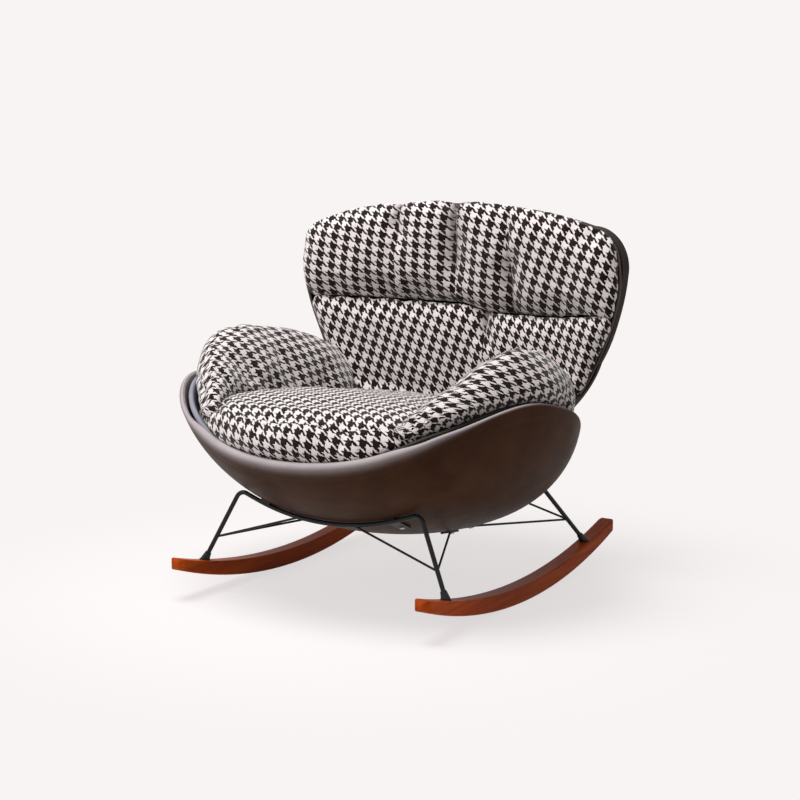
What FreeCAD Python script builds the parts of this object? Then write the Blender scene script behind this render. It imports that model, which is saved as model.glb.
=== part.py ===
import FreeCAD, Part
import math
import os

# Rocking lounge chair: a leather bowl with an inner tub, a dished back and soft cushions, on two
# wooden rockers joined by bent steel hoops. Millimetres. +Z up, the sitter faces -Y, +X is the
# sitter's left. The origin is on the floor under the middle of the chair's outer box.

# Half the bowl's width. The widths of the base and of the back are shares of it
bowl_half_width = 460.0

# Rockers
rocker_gauge_share = 1.3652
rocker_gauge = rocker_gauge_share * bowl_half_width
rocker_width = 38.0
rocker_length = 868.0
rocker_shift = 13.0
rocker_depth = 38.0
rocker_sole_radius = 1310.0
rocker_top_radius = 1530.0
rocker_tip_reach = 8.0
rocker_tip_round = 16.0
rocker_edge_round = 4.0

# Leg hoops, one bent rod each
rod_radius = 5.0
foot_reach = 318.0
foot_seat = 9.0
bend_width_share = 0.5087
bend_half_width = bend_width_share * bowl_half_width
bend_height = 238.0
bend_radius = 20.0
shoulder_width_share = 0.4130
shoulder_half_width = shoulder_width_share * bowl_half_width
front_slope_deg = 18.5
rear_slope_deg = 21.0
front_lean_run = 30.0
rear_lean_run = 107.0
lean_rise = 160.0
brace_radius = 2.5
brace_joint_rise = 55.0
brace_meet_share = 0.1522
brace_meet_half_width = brace_meet_share * bowl_half_width
brace_end_share = 0.3587
brace_end_half_width = brace_end_share * bowl_half_width
brace_end_reach = 52.0

# Feet and fasteners
flange_radius = 12.0
flange_base = 3.0
ferrule_base_radius = 10.5
ferrule_top_radius = 6.8
ferrule_height = 20.0
bolt_radius = 4.0
bolt_head_radius = 6.5
bolt_head_height = 8.0
counterbore_radius = 8.0
counterbore_depth = 12.0
screw_radius = 2.5
screw_head_radius = 5.5
screw_head_height = 3.0
screw_bite = 8.0

# Tabs that fix the steel to the shell
tab_width = 26.0
tab_thickness = 4.0
hoop_tab_length = 74.0
hoop_tab_share = 0.3478
hoop_tab_half_width = hoop_tab_share * bowl_half_width
hoop_tab_screw_inset = 50.0
hoop_tab_overhang = 8.0
brace_tab_length = 36.0
brace_tab_screw_inset = 10.0

# Bowl
bowl_front_radius = 478.0
bowl_rear_radius = 320.0
bowl_bottom = 123.0
bowl_top = 480.0
bowl_shift_low = 40.0
bowl_shift_high = -58.0
bowl_roundness = 2.15
shell_wall = 12.0
slit_width = 12.0
tub_wall = 12.0
seat_clearance = 0.4

# Back shell and its trim
back_width_share = 0.9435
back_half_width = back_width_share * bowl_half_width
back_foot_height = 266.0
back_head_height = 848.0
back_depth_scale = 848.0
back_wall = 9.0
back_edge_wall = 7.0
trim_width = 6.4
trim_inset = 0.4
trim_low_height = 430.0
bracket_half_spacing = 70.0
bracket_width = 36.0
bracket_height = 40.0
bracket_level = 290.0
back_bolt_radius = 3.0
back_bolt_bite = 6.0
back_bolt_head_radius = 7.0
back_bolt_head_height = 4.0
back_bolt_head_sink = 2.0

# How far the cutting blocks run past what they cut
overrun = 40.0
wide = 700.0

V = FreeCAD.Vector


def save(name, shape, move):
    """Move one named piece into the chair's frame, and write it if it is a sound solid."""
    shape = shape.copy()
    shape.translate(move)
    if not shape.isValid() or shape.Volume <= 0:
        raise ValueError(name + " is not a valid solid")
    shape.exportStep("parts/" + name + ".step")
    box = shape.optimalBoundingBox()
    print(name, "solids", len(shape.Solids), "volume", round(shape.Volume), "x", round(box.XMin), round(box.XMax),
          "y", round(box.YMin), round(box.YMax), "z", round(box.ZMin), round(box.ZMax))


def group(pieces):
    """Several separate solids kept as one node."""
    return Part.makeCompound(pieces)


def mirrored(shape):
    """The same piece on the sitter's other side."""
    return shape.mirror(V(0, 0, 0), V(1, 0, 0))


def solid_of(shape):
    """The largest solid of a cut result."""
    return max(shape.Solids, key=lambda piece: piece.Volume)


def arc(a, b, c):
    return Part.Arc(a, b, c).toShape()


def line(a, b):
    return Part.LineSegment(a, b).toShape()


def unit(vector):
    return V(vector).normalize()


def span_y(shape, x, z):
    """Where a line along Y at a given width and height enters and leaves a shape."""
    box = shape.common(line(V(x, -wide, z), V(x, wide, z))).BoundBox
    return box.YMin, box.YMax


# Rockers

def sole_height(reach):
    """Height of the rocker's underside at a distance from its middle."""
    return rocker_sole_radius - math.sqrt(rocker_sole_radius ** 2 - reach ** 2)


def rocker_top_height(reach):
    return rocker_depth + rocker_top_radius - math.sqrt(rocker_top_radius ** 2 - reach ** 2)


def foot_distance(end):
    """How far a foot stands from the rocker's middle. end is -1 for the front, 1 for the rear."""
    return end * foot_reach - rocker_shift


def foot_point(side, end):
    """Centre of a foot on the rocker's top. side is 1 for +X."""
    return V(side * rocker_gauge / 2, end * foot_reach, rocker_top_height(foot_distance(end)))


def foot_normal(end):
    reach = foot_distance(end)
    return unit(V(0, -reach, math.sqrt(rocker_top_radius ** 2 - reach ** 2)))


def rocker(side):
    """A crescent of solid wood with eased edges and bolt holes from below."""
    reach = rocker_length / 2 - rocker_tip_reach
    x = side * rocker_gauge / 2 - rocker_width / 2
    low = sole_height(reach)
    high = rocker_top_height(reach)
    middle = (low + high) / 2
    outline = Part.Wire([
        arc(V(x, -reach, low), V(x, 0, 0), V(x, reach, low)),
        arc(V(x, reach, low), V(x, rocker_length / 2, middle), V(x, reach, high)),
        arc(V(x, reach, high), V(x, 0, rocker_depth), V(x, -reach, high)),
        arc(V(x, -reach, high), V(x, -rocker_length / 2, middle), V(x, -reach, low)),
    ])
    body = Part.Face(outline).extrude(V(rocker_width, 0, 0))
    plan = Part.makeBox(rocker_width, rocker_length, high + 2 * overrun, V(x, -rocker_length / 2, -overrun))
    corners = [edge for edge in plan.Edges if edge.BoundBox.ZLength > high]
    body = body.common(plan.makeFillet(rocker_tip_round, corners))
    lengthwise = [edge for edge in body.Edges if edge.BoundBox.YLength > rocker_length / 2]
    body = body.makeFillet(rocker_edge_round, lengthwise)
    body.translate(V(0, rocker_shift, 0))
    for end in (-1, 1):
        body = body.cut(foot_bolt(side, end, bored=True))
    return body


def foot_bolt(side, end, bored=False):
    """A bolt from under the rocker into the foot, or the hole and counterbore that it needs."""
    top = foot_point(side, end)
    normal = foot_normal(end)
    depth = rocker_top_height(foot_distance(end)) - sole_height(foot_distance(end))
    head_seat = top - normal * (depth - counterbore_depth)
    shank = Part.makeCylinder(bolt_radius, depth - counterbore_depth + flange_base, head_seat, normal)
    if bored:
        recess = Part.makeCylinder(counterbore_radius, counterbore_depth + overrun, head_seat, -normal)
        return shank.fuse(recess)
    head = Part.makeCylinder(bolt_head_radius, bolt_head_height, head_seat, -normal)
    return shank.fuse(head)


# Leg hoops: each is drawn flat, feet at the bottom, then leaned about its feet

class Hoop:
    def __init__(self, end, lean_run, slope_deg):
        self.end = end
        self.lean = math.atan2(lean_run, lean_rise)
        self.origin = V(0, end * foot_reach, rocker_top_height(foot_distance(end)))
        self.rise = V(0, -end * math.sin(self.lean), math.cos(self.lean))
        slope = math.radians(slope_deg)
        self.bend = (bend_half_width, (bend_height - self.origin.z) / math.cos(self.lean))
        self.shoulder = (shoulder_half_width,
                         self.bend[1] - (bend_half_width - shoulder_half_width) * math.tan(slope))
        self.sag_radius = shoulder_half_width / math.sin(slope)
        self.sag_bottom = self.shoulder[1] - self.sag_radius * (1 - math.cos(slope))

    def at(self, x, s):
        """A point of the flat drawing, placed in the chair."""
        return self.origin + V(x, 0, 0) + self.rise * s

    def leg_direction(self, side):
        return unit(self.at(side * self.bend[0], self.bend[1]) - self.at(side * rocker_gauge / 2, 0))

    def brace_joint(self, side):
        share = brace_joint_rise / (self.bend[1] * math.cos(self.lean))
        x = rocker_gauge / 2 + (self.bend[0] - rocker_gauge / 2) * share
        return self.at(side * x, self.bend[1] * share)

    def crossing(self, x):
        """The hoop's centreline under the belly at a distance from the middle."""
        drop = self.sag_radius - math.sqrt(self.sag_radius ** 2 - x ** 2)
        return self.at(x, self.sag_bottom + drop)

    def half_path(self, side):
        """Edges from one foot to the shoulder on the same side."""
        foot = self.at(side * rocker_gauge / 2, 0)
        corner = self.at(side * self.bend[0], self.bend[1])
        shoulder = self.at(side * self.shoulder[0], self.shoulder[1])
        climb = unit(corner - foot)
        inward = unit(shoulder - corner)
        turn = climb.getAngle(inward)
        tangent = bend_radius * math.tan(turn / 2)
        start = foot + climb * foot_seat
        entry = corner - climb * tangent
        leave = corner + inward * tangent
        centre = corner + unit(inward - climb) * (bend_radius / math.cos(turn / 2))
        middle = centre + unit(corner - centre) * bend_radius
        return [line(start, entry), arc(entry, middle, leave), line(leave, shoulder)], start, climb, shoulder

    def solid(self):
        left, left_start, left_climb, left_shoulder = self.half_path(-1)
        right, right_start, right_climb, right_shoulder = self.half_path(1)
        sag = arc(left_shoulder, self.at(0, self.sag_bottom), right_shoulder)
        path = Part.Wire(Part.__sortEdges__(left + [sag] + right))
        section = Part.Wire(Part.Circle(left_start, left_climb, rod_radius).toShape())
        return path.makePipeShell([section], True, False)


def straight_rod(start, end, radius):
    return Part.makeCylinder(radius, (end - start).Length, start, end - start)


def hoop_brace(hoop, side, hoop_solid):
    """The thin rod in the hoop's own plane, from a leg to the hoop near its middle."""
    rod = straight_rod(hoop.brace_joint(side), hoop.crossing(side * brace_meet_half_width), brace_radius)
    return solid_of(rod.cut(hoop_solid))


def foot_flange(hoop, side, rocker_solid, hoop_solid):
    """A small bell-shaped foot: a disc on the rocker and a cone up the leg."""
    seat = foot_point(side, hoop.end)
    normal = foot_normal(hoop.end)
    climb = hoop.leg_direction(side)
    sink = flange_base / 2
    disc = Part.makeCylinder(flange_radius, flange_base + sink, seat - normal * sink, normal)
    cone = Part.makeCone(ferrule_base_radius, ferrule_top_radius, ferrule_height, seat, climb)
    body = disc.fuse(cone).cut(rocker_solid).cut(hoop_solid).cut(foot_bolt(side, hoop.end))
    return solid_of(body)


# Bowl: level sections of two half ellipses, wider and further forward as they rise

section_height_shares = (0.008, 0.04, 0.1, 0.2, 0.33, 0.5, 0.7, 0.87, 1.0)


def bowl_section(share, inset, side_gap, bottom):
    spread = (1 - (1 - share) ** bowl_roundness) ** (1 / bowl_roundness)
    middle = bowl_shift_high + (bowl_shift_low - bowl_shift_high) * (1 - share)
    z = bottom + (bowl_top - bottom) * share
    half_width = (bowl_half_width - inset - side_gap) * spread
    front = (bowl_front_radius - inset) * spread
    rear = (bowl_rear_radius - inset) * spread
    centre = V(0, middle, z)
    halves = []
    for reach, heading in ((front, -1), (rear, 1)):
        tip = centre + V(0, heading * reach, 0)
        side = centre + V(-heading * half_width, 0, 0)
        far_side = centre + V(heading * half_width, 0, 0)
        if reach > half_width:
            curve = Part.Ellipse(tip, side, centre)
            start = curve.parameter(side)
            stop = curve.parameter(far_side)
        else:
            curve = Part.Ellipse(side, tip, centre)
            start = curve.parameter(side)
            stop = curve.parameter(far_side)
        halves.append(half_turn(curve, start, stop, tip))
    return Part.Wire(halves)


def half_turn(curve, start, stop, through):
    """The half of an ellipse between two parameters that passes a given point."""
    if stop <= start:
        stop += 2 * math.pi
    edge = Part.ArcOfEllipse(curve, start, stop).toShape()
    if edge.distToShape(Part.Vertex(through))[0] > seat_clearance:
        edge = Part.ArcOfEllipse(curve, stop, start + 2 * math.pi).toShape()
    return edge


def bowl_solid(inset=0.0, side_gap=0.0):
    """The bowl's round form, filled, drawn in by an inset on all sides."""
    sections = [bowl_section(share, inset, side_gap, bowl_bottom + inset) for share in section_height_shares]
    return Part.makeLoft(sections, True, False)


# The rim in side view, as shares of the bowl's front reach and of its top height, front first
rim_shares = (
    (-1.12, 0.66), (-0.99, 0.70), (-0.945, 0.730), (-0.885, 0.778), (-0.815, 0.852), (-0.725, 0.905),
    (-0.605, 0.955), (-0.450, 0.992), (-0.320, 0.988), (-0.215, 0.965), (-0.080, 0.927), (0.070, 0.858),
    (0.160, 0.795), (0.240, 0.728), (0.350, 0.668), (0.480, 0.640), (0.700, 0.630),
)


def above_rim(lift=0.0):
    """Everything over the rim line, to cut away from a filled bowl."""
    points = [V(-wide, y * bowl_front_radius, z * bowl_top + lift) for y, z in rim_shares]
    curve = Part.BSplineCurve()
    curve.interpolate(points)
    first = points[0]
    last = points[-1]
    ceiling = bowl_top + wide
    outline = Part.Wire([
        curve.toShape(),
        line(last, V(-wide, last.y, ceiling)),
        line(V(-wide, last.y, ceiling), V(-wide, first.y, ceiling)),
        line(V(-wide, first.y, ceiling), first),
    ])
    return Part.Face(outline).extrude(V(2 * wide, 0, 0))


def belly_frame(filled, x, y):
    """A point on the bowl's underside, its outward normal and a direction along the belly."""
    def under(px, py):
        probe = line(V(px, py, 0), V(px, py, bowl_top))
        return filled.common(probe).BoundBox.ZMin
    step = rod_radius
    point = V(x, y, under(x, y))
    along_x = V(2 * step, 0, under(x + step, y) - under(x - step, y))
    along_y = V(0, 2 * step, under(x, y + step) - under(x, y - step))
    outward = -unit(along_x.cross(along_y))
    return point, outward, unit(along_y)


def tab(filled, x, y, length, hoop_solid):
    """A flat steel tab lying on the belly, shaped to it on the side that touches."""
    point, outward, along = belly_frame(filled, x, y)
    across = unit(along.cross(outward))
    sink = tab_thickness / 2
    corner = point - outward * sink - along * (length / 2) - across * (tab_width / 2)
    base = Part.Wire([
        line(corner, corner + along * length),
        line(corner + along * length, corner + along * length + across * tab_width),
        line(corner + along * length + across * tab_width, corner + across * tab_width),
        line(corner + across * tab_width, corner),
    ])
    plate = Part.Face(base).extrude(outward * (tab_thickness + sink))
    return solid_of(plate.cut(filled).cut(hoop_solid))


def belly_screw(filled, x, y):
    """A pan-head screw through a tab and the shell into the tub."""
    point, outward, along = belly_frame(filled, x, y)
    head_seat = point + outward * tab_thickness
    length = tab_thickness + shell_wall + screw_bite
    shank = Part.makeCylinder(screw_radius, length, head_seat, -outward)
    head = Part.makeCylinder(screw_head_radius, screw_head_height, head_seat, outward)
    return shank.fuse(head)


# Back shell: a dished tray. Its outline is seen from the front, its depth from the side

# Outline from the foot up to the head, as shares of the half width and of the height
back_outline_shares = (
    (0.0, 0.0), (0.30, 0.020), (0.545, 0.100), (0.750, 0.225), (0.868, 0.405), (0.960, 0.580),
    (0.996, 0.745), (0.957, 0.865), (0.780, 0.932), (0.430, 0.982), (0.0, 1.0),
)
# Rear surface: height as a share of the head height, then depth of the middle and of the sides as
# shares of the depth scale
rear_surface_shares = (
    (0.14, 0.236, 0.030), (0.21, 0.242, 0.034), (0.28, 0.250, 0.040), (0.357, 0.270, 0.058),
    (0.42, 0.307, 0.140), (0.49, 0.346, 0.222), (0.585, 0.384, 0.279), (0.68, 0.403, 0.297),
    (0.775, 0.411, 0.312), (0.87, 0.404, 0.322), (0.96, 0.388, 0.324), (1.05, 0.368, 0.322),
)
# Front edge in side view: height and depth, shares of the same two sizes
front_edge_shares = (
    (0.20, 0.130), (0.38, 0.190), (0.46, 0.232), (0.53, 0.281), (0.61, 0.298), (0.73, 0.294),
    (0.86, 0.292), (0.95, 0.300), (1.10, 0.310),
)


def back_outline(inset, y):
    """The back's outline from the front, closed and symmetrical, drawn in by an inset."""
    half_width = back_half_width - inset
    foot = back_foot_height + inset
    rise = back_head_height - inset - foot
    right = [V(x * half_width, y, foot + z * rise) for x, z in back_outline_shares]
    left = [V(-point.x, point.y, point.z) for point in right]
    edges = []
    for side in (right, left):
        for first in range(0, len(side) - 1, 2):
            edges.append(arc(side[first], side[first + 1], side[first + 2]))
    return Part.Wire(Part.__sortEdges__(edges))


def back_slab(inset, depth_from, depth_to):
    """The outline carried from one depth to another."""
    face = Part.Face(back_outline(inset, depth_from))
    return face.extrude(V(0, depth_to - depth_from, 0))


def before_rear_surface(inset):
    """Everything in front of the back's rear surface, drawn forward by an inset."""
    sections = []
    for z_share, middle_share, side_share in rear_surface_shares:
        z = z_share * back_head_height
        middle = middle_share * back_depth_scale - inset
        side = side_share * back_depth_scale - inset
        left = V(-bowl_half_width, side, z)
        right = V(bowl_half_width, side, z)
        sections.append(Part.Wire([
            arc(left, V(0, middle, z), right),
            line(right, V(bowl_half_width, -wide, z)),
            line(V(bowl_half_width, -wide, z), V(-bowl_half_width, -wide, z)),
            line(V(-bowl_half_width, -wide, z), left),
        ]))
    return Part.makeLoft(sections, True, False)


def before_front_edge(shift=0.0):
    """Everything in front of the tray's front edge."""
    points = [V(-wide, y * back_depth_scale + shift, z * back_head_height) for z, y in front_edge_shares]
    curve = Part.BSplineCurve()
    curve.interpolate(points)
    low = points[0]
    high = points[-1]
    outline = Part.Wire([
        curve.toShape(),
        line(high, V(-wide, -wide, high.z)),
        line(V(-wide, -wide, high.z), V(-wide, -wide, low.z)),
        line(V(-wide, -wide, low.z), low),
    ])
    return Part.Face(outline).extrude(V(2 * wide, 0, 0))


def back_tray(ring):
    """The dished shell: a rear wall with a rim all round, open to the front."""
    outer = back_slab(0.0, 0.0, wide).common(before_rear_surface(0.0)).cut(before_front_edge())
    hollow = back_slab(back_edge_wall, -overrun, wide).common(before_rear_surface(back_wall))
    return solid_of(outer.cut(hollow).cut(ring))


# Cushions: lofts through sections of arcs

def arcs_through(points):
    """Arcs through a row of points, three at a time."""
    return [arc(points[i], points[i + 1], points[i + 2]) for i in range(0, len(points) - 1, 2)]


# Seat: station along Y, half width, top of the middle, top of the edge and bottom, as shares of the
# bowl's front reach, of its half width and of its top height
seat_shares = (
    (-0.945, 0.416, 0.840, 0.825, 0.30), (-0.900, 0.520, 0.878, 0.868, 0.30),
    (-0.800, 0.603, 0.908, 0.902, 0.30), (-0.600, 0.644, 0.925, 0.915, 0.27),
    (-0.260, 0.675, 0.920, 0.885, 0.27), (0.120, 0.644, 0.860, 0.820, 0.27),
    (0.455, 0.540, 0.795, 0.765, 0.27),
)


# Seat section: where its arcs and corners lie, as shares of its half width and of its side's height
seat_corner_share = 0.96
seat_quarter_share = 0.5
seat_side_share = 1.01
seat_shoulder_share = 0.2
seat_base_share = 0.8


def seat_form(grow=0.0):
    """The seat cushion, filled, swelling toward its middle, over the tub's floor."""
    sections = []
    for y_share, width_share, middle_share, edge_share, bottom_share in seat_shares:
        y = y_share * bowl_front_radius
        w = width_share * bowl_half_width + grow
        middle = middle_share * bowl_top + grow
        edge = edge_share * bowl_top + grow
        bottom = bottom_share * bowl_top
        shoulder = edge - (edge - bottom) * seat_shoulder_share
        corner = w * seat_corner_share
        quarter = w * seat_quarter_share
        side = w * seat_side_share
        base = w * seat_base_share
        edges = arcs_through([
            V(-w, y, shoulder), V(-side, y, (edge + shoulder) / 2), V(-corner, y, edge),
            V(-quarter, y, (edge + middle) / 2), V(0, y, middle), V(quarter, y, (edge + middle) / 2),
            V(corner, y, edge), V(side, y, (edge + shoulder) / 2), V(w, y, shoulder),
        ])
        edges.append(line(V(w, y, shoulder), V(base, y, bottom)))
        edges.append(line(V(base, y, bottom), V(-base, y, bottom)))
        edges.append(line(V(-base, y, bottom), V(-w, y, shoulder)))
        sections.append(Part.Wire(edges))
    return Part.makeLoft(sections, True, False)


# Arm: station along Y, then ridge, outer foot and inner foot, each as x and z, as shares of the
# bowl's half width and of its top height
arm_shares = (
    (-0.805, 0.513, 0.904, 0.557, 0.875, 0.478, 0.871), (-0.700, 0.605, 1.030, 0.695, 0.940, 0.525, 0.910),
    (-0.555, 0.725, 1.127, 0.810, 0.987, 0.557, 0.912), (-0.400, 0.812, 1.188, 0.900, 1.012, 0.570, 0.900),
    (-0.230, 0.846, 1.200, 0.936, 0.988, 0.575, 0.880), (-0.042, 0.841, 1.170, 0.922, 0.925, 0.570, 0.843),
    (0.125, 0.813, 1.140, 0.874, 0.845, 0.557, 0.812), (0.270, 0.790, 1.098, 0.826, 0.835, 0.543, 0.787),
    (0.390, 0.762, 1.030, 0.787, 0.840, 0.555, 0.780), (0.460, 0.735, 0.950, 0.760, 0.850, 0.590, 0.790),
)
# Arm section: how it rounds over at the ridge, swells on both faces and tucks under, as shares of the
# way from the ridge to a foot and of its height above its feet
cap_share = 0.16
cap_out_x_share, cap_out_z_share = 0.05, 0.04
cap_in_x_share, cap_in_z_share = 0.02, 0.06
bulge_out_x_share, bulge_out_z_share = 0.11, 0.02
bulge_in_x_share, bulge_in_z_share = 0.06, 0.10
under_out_x_share, under_out_z_share = 0.20, 0.55
under_in_x_share, under_in_z_share = 0.15, 0.45


def arm_form():
    """One arm cushion on the +X side, with its foot let down into the tub."""
    sections = []
    for y_share, rx, rz, ox, oz, ix, iz in arm_shares:
        y = y_share * bowl_front_radius
        ridge = V(rx * bowl_half_width, y, rz * bowl_top)
        outer = V(ox * bowl_half_width, y, oz * bowl_top)
        inner = V(ix * bowl_half_width, y, iz * bowl_top)
        tall = ridge.z - (outer.z + inner.z) / 2
        cap_out = ridge + (outer - ridge) * cap_share + V(cap_out_x_share, 0, cap_out_z_share) * tall
        cap_in = ridge + (inner - ridge) * cap_share + V(-cap_in_x_share, 0, cap_in_z_share) * tall
        outer_bulge = (cap_out + outer) / 2 + V(bulge_out_x_share, 0, bulge_out_z_share) * tall
        inner_bulge = (cap_in + inner) / 2 + V(-bulge_in_x_share, 0, bulge_in_z_share) * tall
        low_out = outer + V(-under_out_x_share, 0, -under_out_z_share) * tall
        low_in = inner + V(under_in_x_share, 0, -under_in_z_share) * tall
        sections.append(Part.Wire([
            arc(outer, outer_bulge, cap_out),
            arc(cap_out, ridge, cap_in),
            arc(cap_in, inner_bulge, inner),
            line(inner, low_in),
            line(low_in, low_out),
            line(low_out, outer),
        ]))
    return Part.makeLoft(sections, True, False)


# Fronts of the back cushions: height as a share of the head height, then depth of the crown and
# fall to the sides as shares of the depth scale
head_front_shares = (
    (0.7180, 0.300, 0.004), (0.735, 0.286, 0.014), (0.770, 0.272, 0.026), (0.830, 0.266, 0.030),
    (0.900, 0.270, 0.030), (0.950, 0.288, 0.022), (0.985, 0.318, 0.010), (1.02, 0.352, 0.004),
)
lumbar_front_shares = (
    (0.40, 0.268, 0.030), (0.44, 0.262, 0.030), (0.50, 0.256, 0.030), (0.57, 0.262, 0.028),
    (0.64, 0.272, 0.024), (0.69, 0.284, 0.014), (0.7170, 0.298, 0.004),
)
# Upright seams of the head cushion, as shares of the back's half width
head_seam_shares = (-0.345, 0.0, 0.345)
seam_dip_share = 0.016


def swelling_front(front_shares, seam_shares):
    """A cushion as wide as the back, whose front swells between its upright seams."""
    stops = (-1.0,) + seam_shares + (1.0,)
    sections = []
    for z_share, y_share, fall_share in front_shares:
        z = z_share * back_head_height
        crown = y_share * back_depth_scale
        dip = seam_dip_share * back_depth_scale
        fall = fall_share * back_depth_scale
        row = []
        for left, right in zip(stops[:-1], stops[1:]):
            start = crown + (fall if left == -1.0 else dip)
            row.append(V(left * back_half_width, start, z))
            row.append(V((left + right) / 2 * back_half_width, crown, z))
        row.append(V(back_half_width, crown + fall, z))
        edges = arcs_through(row)
        edges.append(line(row[-1], V(back_half_width, wide, z)))
        edges.append(line(V(back_half_width, wide, z), V(-back_half_width, wide, z)))
        edges.append(line(V(-back_half_width, wide, z), row[0]))
        sections.append(Part.Wire(edges))
    return Part.makeLoft(sections, True, False)


def back_cushion(front_shares, seam_shares):
    clear = seat_clearance
    inside = back_slab(back_edge_wall + clear, -wide, wide).common(before_rear_surface(back_wall + clear))
    return swelling_front(front_shares, seam_shares).common(inside)


def back_trim(ring):
    """A welt along the tray's front edge, up from the bowl, over the head and down again."""
    band = back_slab(trim_inset, -wide, wide).cut(back_slab(trim_inset + trim_width, -wide, wide))
    band = band.common(before_front_edge()).cut(before_front_edge(-trim_width))
    below = Part.makeBox(2 * wide, 2 * wide, trim_low_height, V(-wide, -wide, 0))
    return solid_of(band.cut(below).cut(ring))


def back_bracket(side, cavity):
    """A block between the tub's rear wall and the back's foot."""
    corner = V(side * bracket_half_spacing - bracket_width / 2, 0, bracket_level - bracket_height / 2)
    block = Part.makeBox(bracket_width, wide, bracket_height, corner)
    return solid_of(block.common(cavity).cut(before_rear_surface(0.0)))


def back_bolt(side, filled, tray):
    """A bolt from behind the bowl, through a bracket and into the back's rear wall."""
    x = side * bracket_half_spacing
    skin = span_y(filled, x, bracket_level)[1] - back_bolt_head_sink
    tip = span_y(tray, x, bracket_level)[1] - back_bolt_bite
    shank = Part.makeCylinder(back_bolt_radius, skin - tip, V(x, tip, bracket_level), V(0, 1, 0))
    head = Part.makeCylinder(back_bolt_head_radius, back_bolt_head_height, V(x, skin, bracket_level), V(0, 1, 0))
    return shank.fuse(head)


def base_pieces(pieces, sides, hoops, filled):
    """Rockers, hoops, braces, feet, tabs and bolts. The belly's screws are handed back."""
    rockers = {name: rocker(side) for name, side in sides.items()}
    for name, solid in rockers.items():
        pieces["rocker_" + name] = solid
    pieces["foot_bolts"] = group([foot_bolt(side, hoop.end) for side in sides.values() for hoop in hoops.values()])
    screws = []
    for end_name, hoop in hoops.items():
        hoop_solid = hoop.solid()
        pieces[end_name + "_leg_hoop"] = hoop_solid
        plates = []
        for side_name, side in sides.items():
            brace = hoop_brace(hoop, side, hoop_solid)
            pieces[end_name + "_brace_" + side_name] = brace
            pieces[end_name + "_foot_" + side_name] = foot_flange(hoop, side, rockers[side_name], hoop_solid)

            x = side * brace_end_half_width
            end_y = hoop.end * brace_end_reach
            plate = tab(filled, x, end_y, brace_tab_length, hoop_solid)
            screw = belly_screw(filled, x, end_y - hoop.end * brace_tab_screw_inset)
            point, outward, along = belly_frame(filled, x, end_y)
            rod = straight_rod(hoop.brace_joint(side), point + outward * tab_thickness, brace_radius)
            for neighbour in (hoop_solid, brace, plate, screw, filled):
                rod = rod.cut(neighbour)
            pieces[end_name + "_belly_brace_" + side_name] = solid_of(rod)
            pieces[end_name + "_belly_tab_" + side_name] = plate.cut(screw)
            screws.append(screw)

            x = side * hoop_tab_half_width
            rod_y = hoop.crossing(x).y
            screw = belly_screw(filled, x, rod_y - hoop.end * hoop_tab_screw_inset)
            middle_y = rod_y - hoop.end * (hoop_tab_length / 2 - hoop_tab_overhang)
            plates.append(tab(filled, x, middle_y, hoop_tab_length, hoop_solid).cut(screw))
            screws.append(screw)
        pieces[end_name + "_hoop_tabs"] = group(plates)
    pieces["shell_screws"] = group(screws)
    return screws


def main():
    os.makedirs("parts", exist_ok=True)
    pieces = {}
    sides = {"left": 1, "right": -1}
    hoops = {
        "front": Hoop(-1, front_lean_run, front_slope_deg),
        "rear": Hoop(1, rear_lean_run, rear_slope_deg),
    }

    filled = bowl_solid()
    screws = base_pieces(pieces, sides, hoops, filled)
    inset_total = shell_wall + seat_clearance + tub_wall
    cavity = bowl_solid(inset_total + seat_clearance, slit_width)
    cut_away = above_rim()
    outer_shell = filled.cut(bowl_solid(shell_wall)).cut(cut_away)
    tub = bowl_solid(shell_wall + seat_clearance, slit_width).cut(bowl_solid(inset_total, slit_width)).cut(cut_away)
    ring = filled.cut(cavity).cut(above_rim(seat_clearance))

    tray = back_tray(ring)
    back_bolts = [back_bolt(side, filled, tray) for side in sides.values()]
    brackets = [back_bracket(side, cavity) for side in sides.values()]
    for fastener in screws + back_bolts:
        outer_shell = outer_shell.cut(fastener)
        tub = tub.cut(fastener)
    for bolt in back_bolts:
        tray = tray.cut(bolt)
        brackets = [bracket.cut(bolt) for bracket in brackets]
    pieces["outer_shell"] = solid_of(outer_shell)
    pieces["seat_tub"] = solid_of(tub)
    pieces["back_shell"] = solid_of(tray)
    pieces["back_brackets"] = group(brackets)
    pieces["back_bolts"] = group(back_bolts)
    trim = back_trim(ring)
    pieces["back_trim"] = trim

    seat_room = cavity.common(before_rear_surface(back_wall + seat_clearance)).cut(tray)
    pieces["seat_cushion"] = solid_of(seat_form().common(seat_room))
    seat_space = seat_form(seat_clearance)
    lumbar = solid_of(back_cushion(lumbar_front_shares, ()).cut(ring).cut(seat_space).cut(trim))
    pieces["lumbar_cushion"] = lumbar
    pieces["head_cushion"] = solid_of(back_cushion(head_front_shares, head_seam_shares).cut(trim))
    arm = arm_form()
    for neighbour in (ring, seat_space, tray, trim, lumbar):
        arm = arm.cut(neighbour)
    arm = solid_of(arm)
    pieces["arm_cushion_left"] = arm
    pieces["arm_cushion_right"] = mirrored(arm)

    boxes = [shape.optimalBoundingBox() for shape in pieces.values()]
    front = min(box.YMin for box in boxes)
    rear = max(box.YMax for box in boxes)
    move = V(0, -(front + rear) / 2, 0)
    for name, shape in pieces.items():
        save(name, shape, move)


main()
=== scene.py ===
import math

import bmesh
import bpy
import numpy as np
from mathutils import Matrix, Vector, noise as field
from mathutils.bvhtree import BVHTree
from mathutils.kdtree import KDTree


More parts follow.
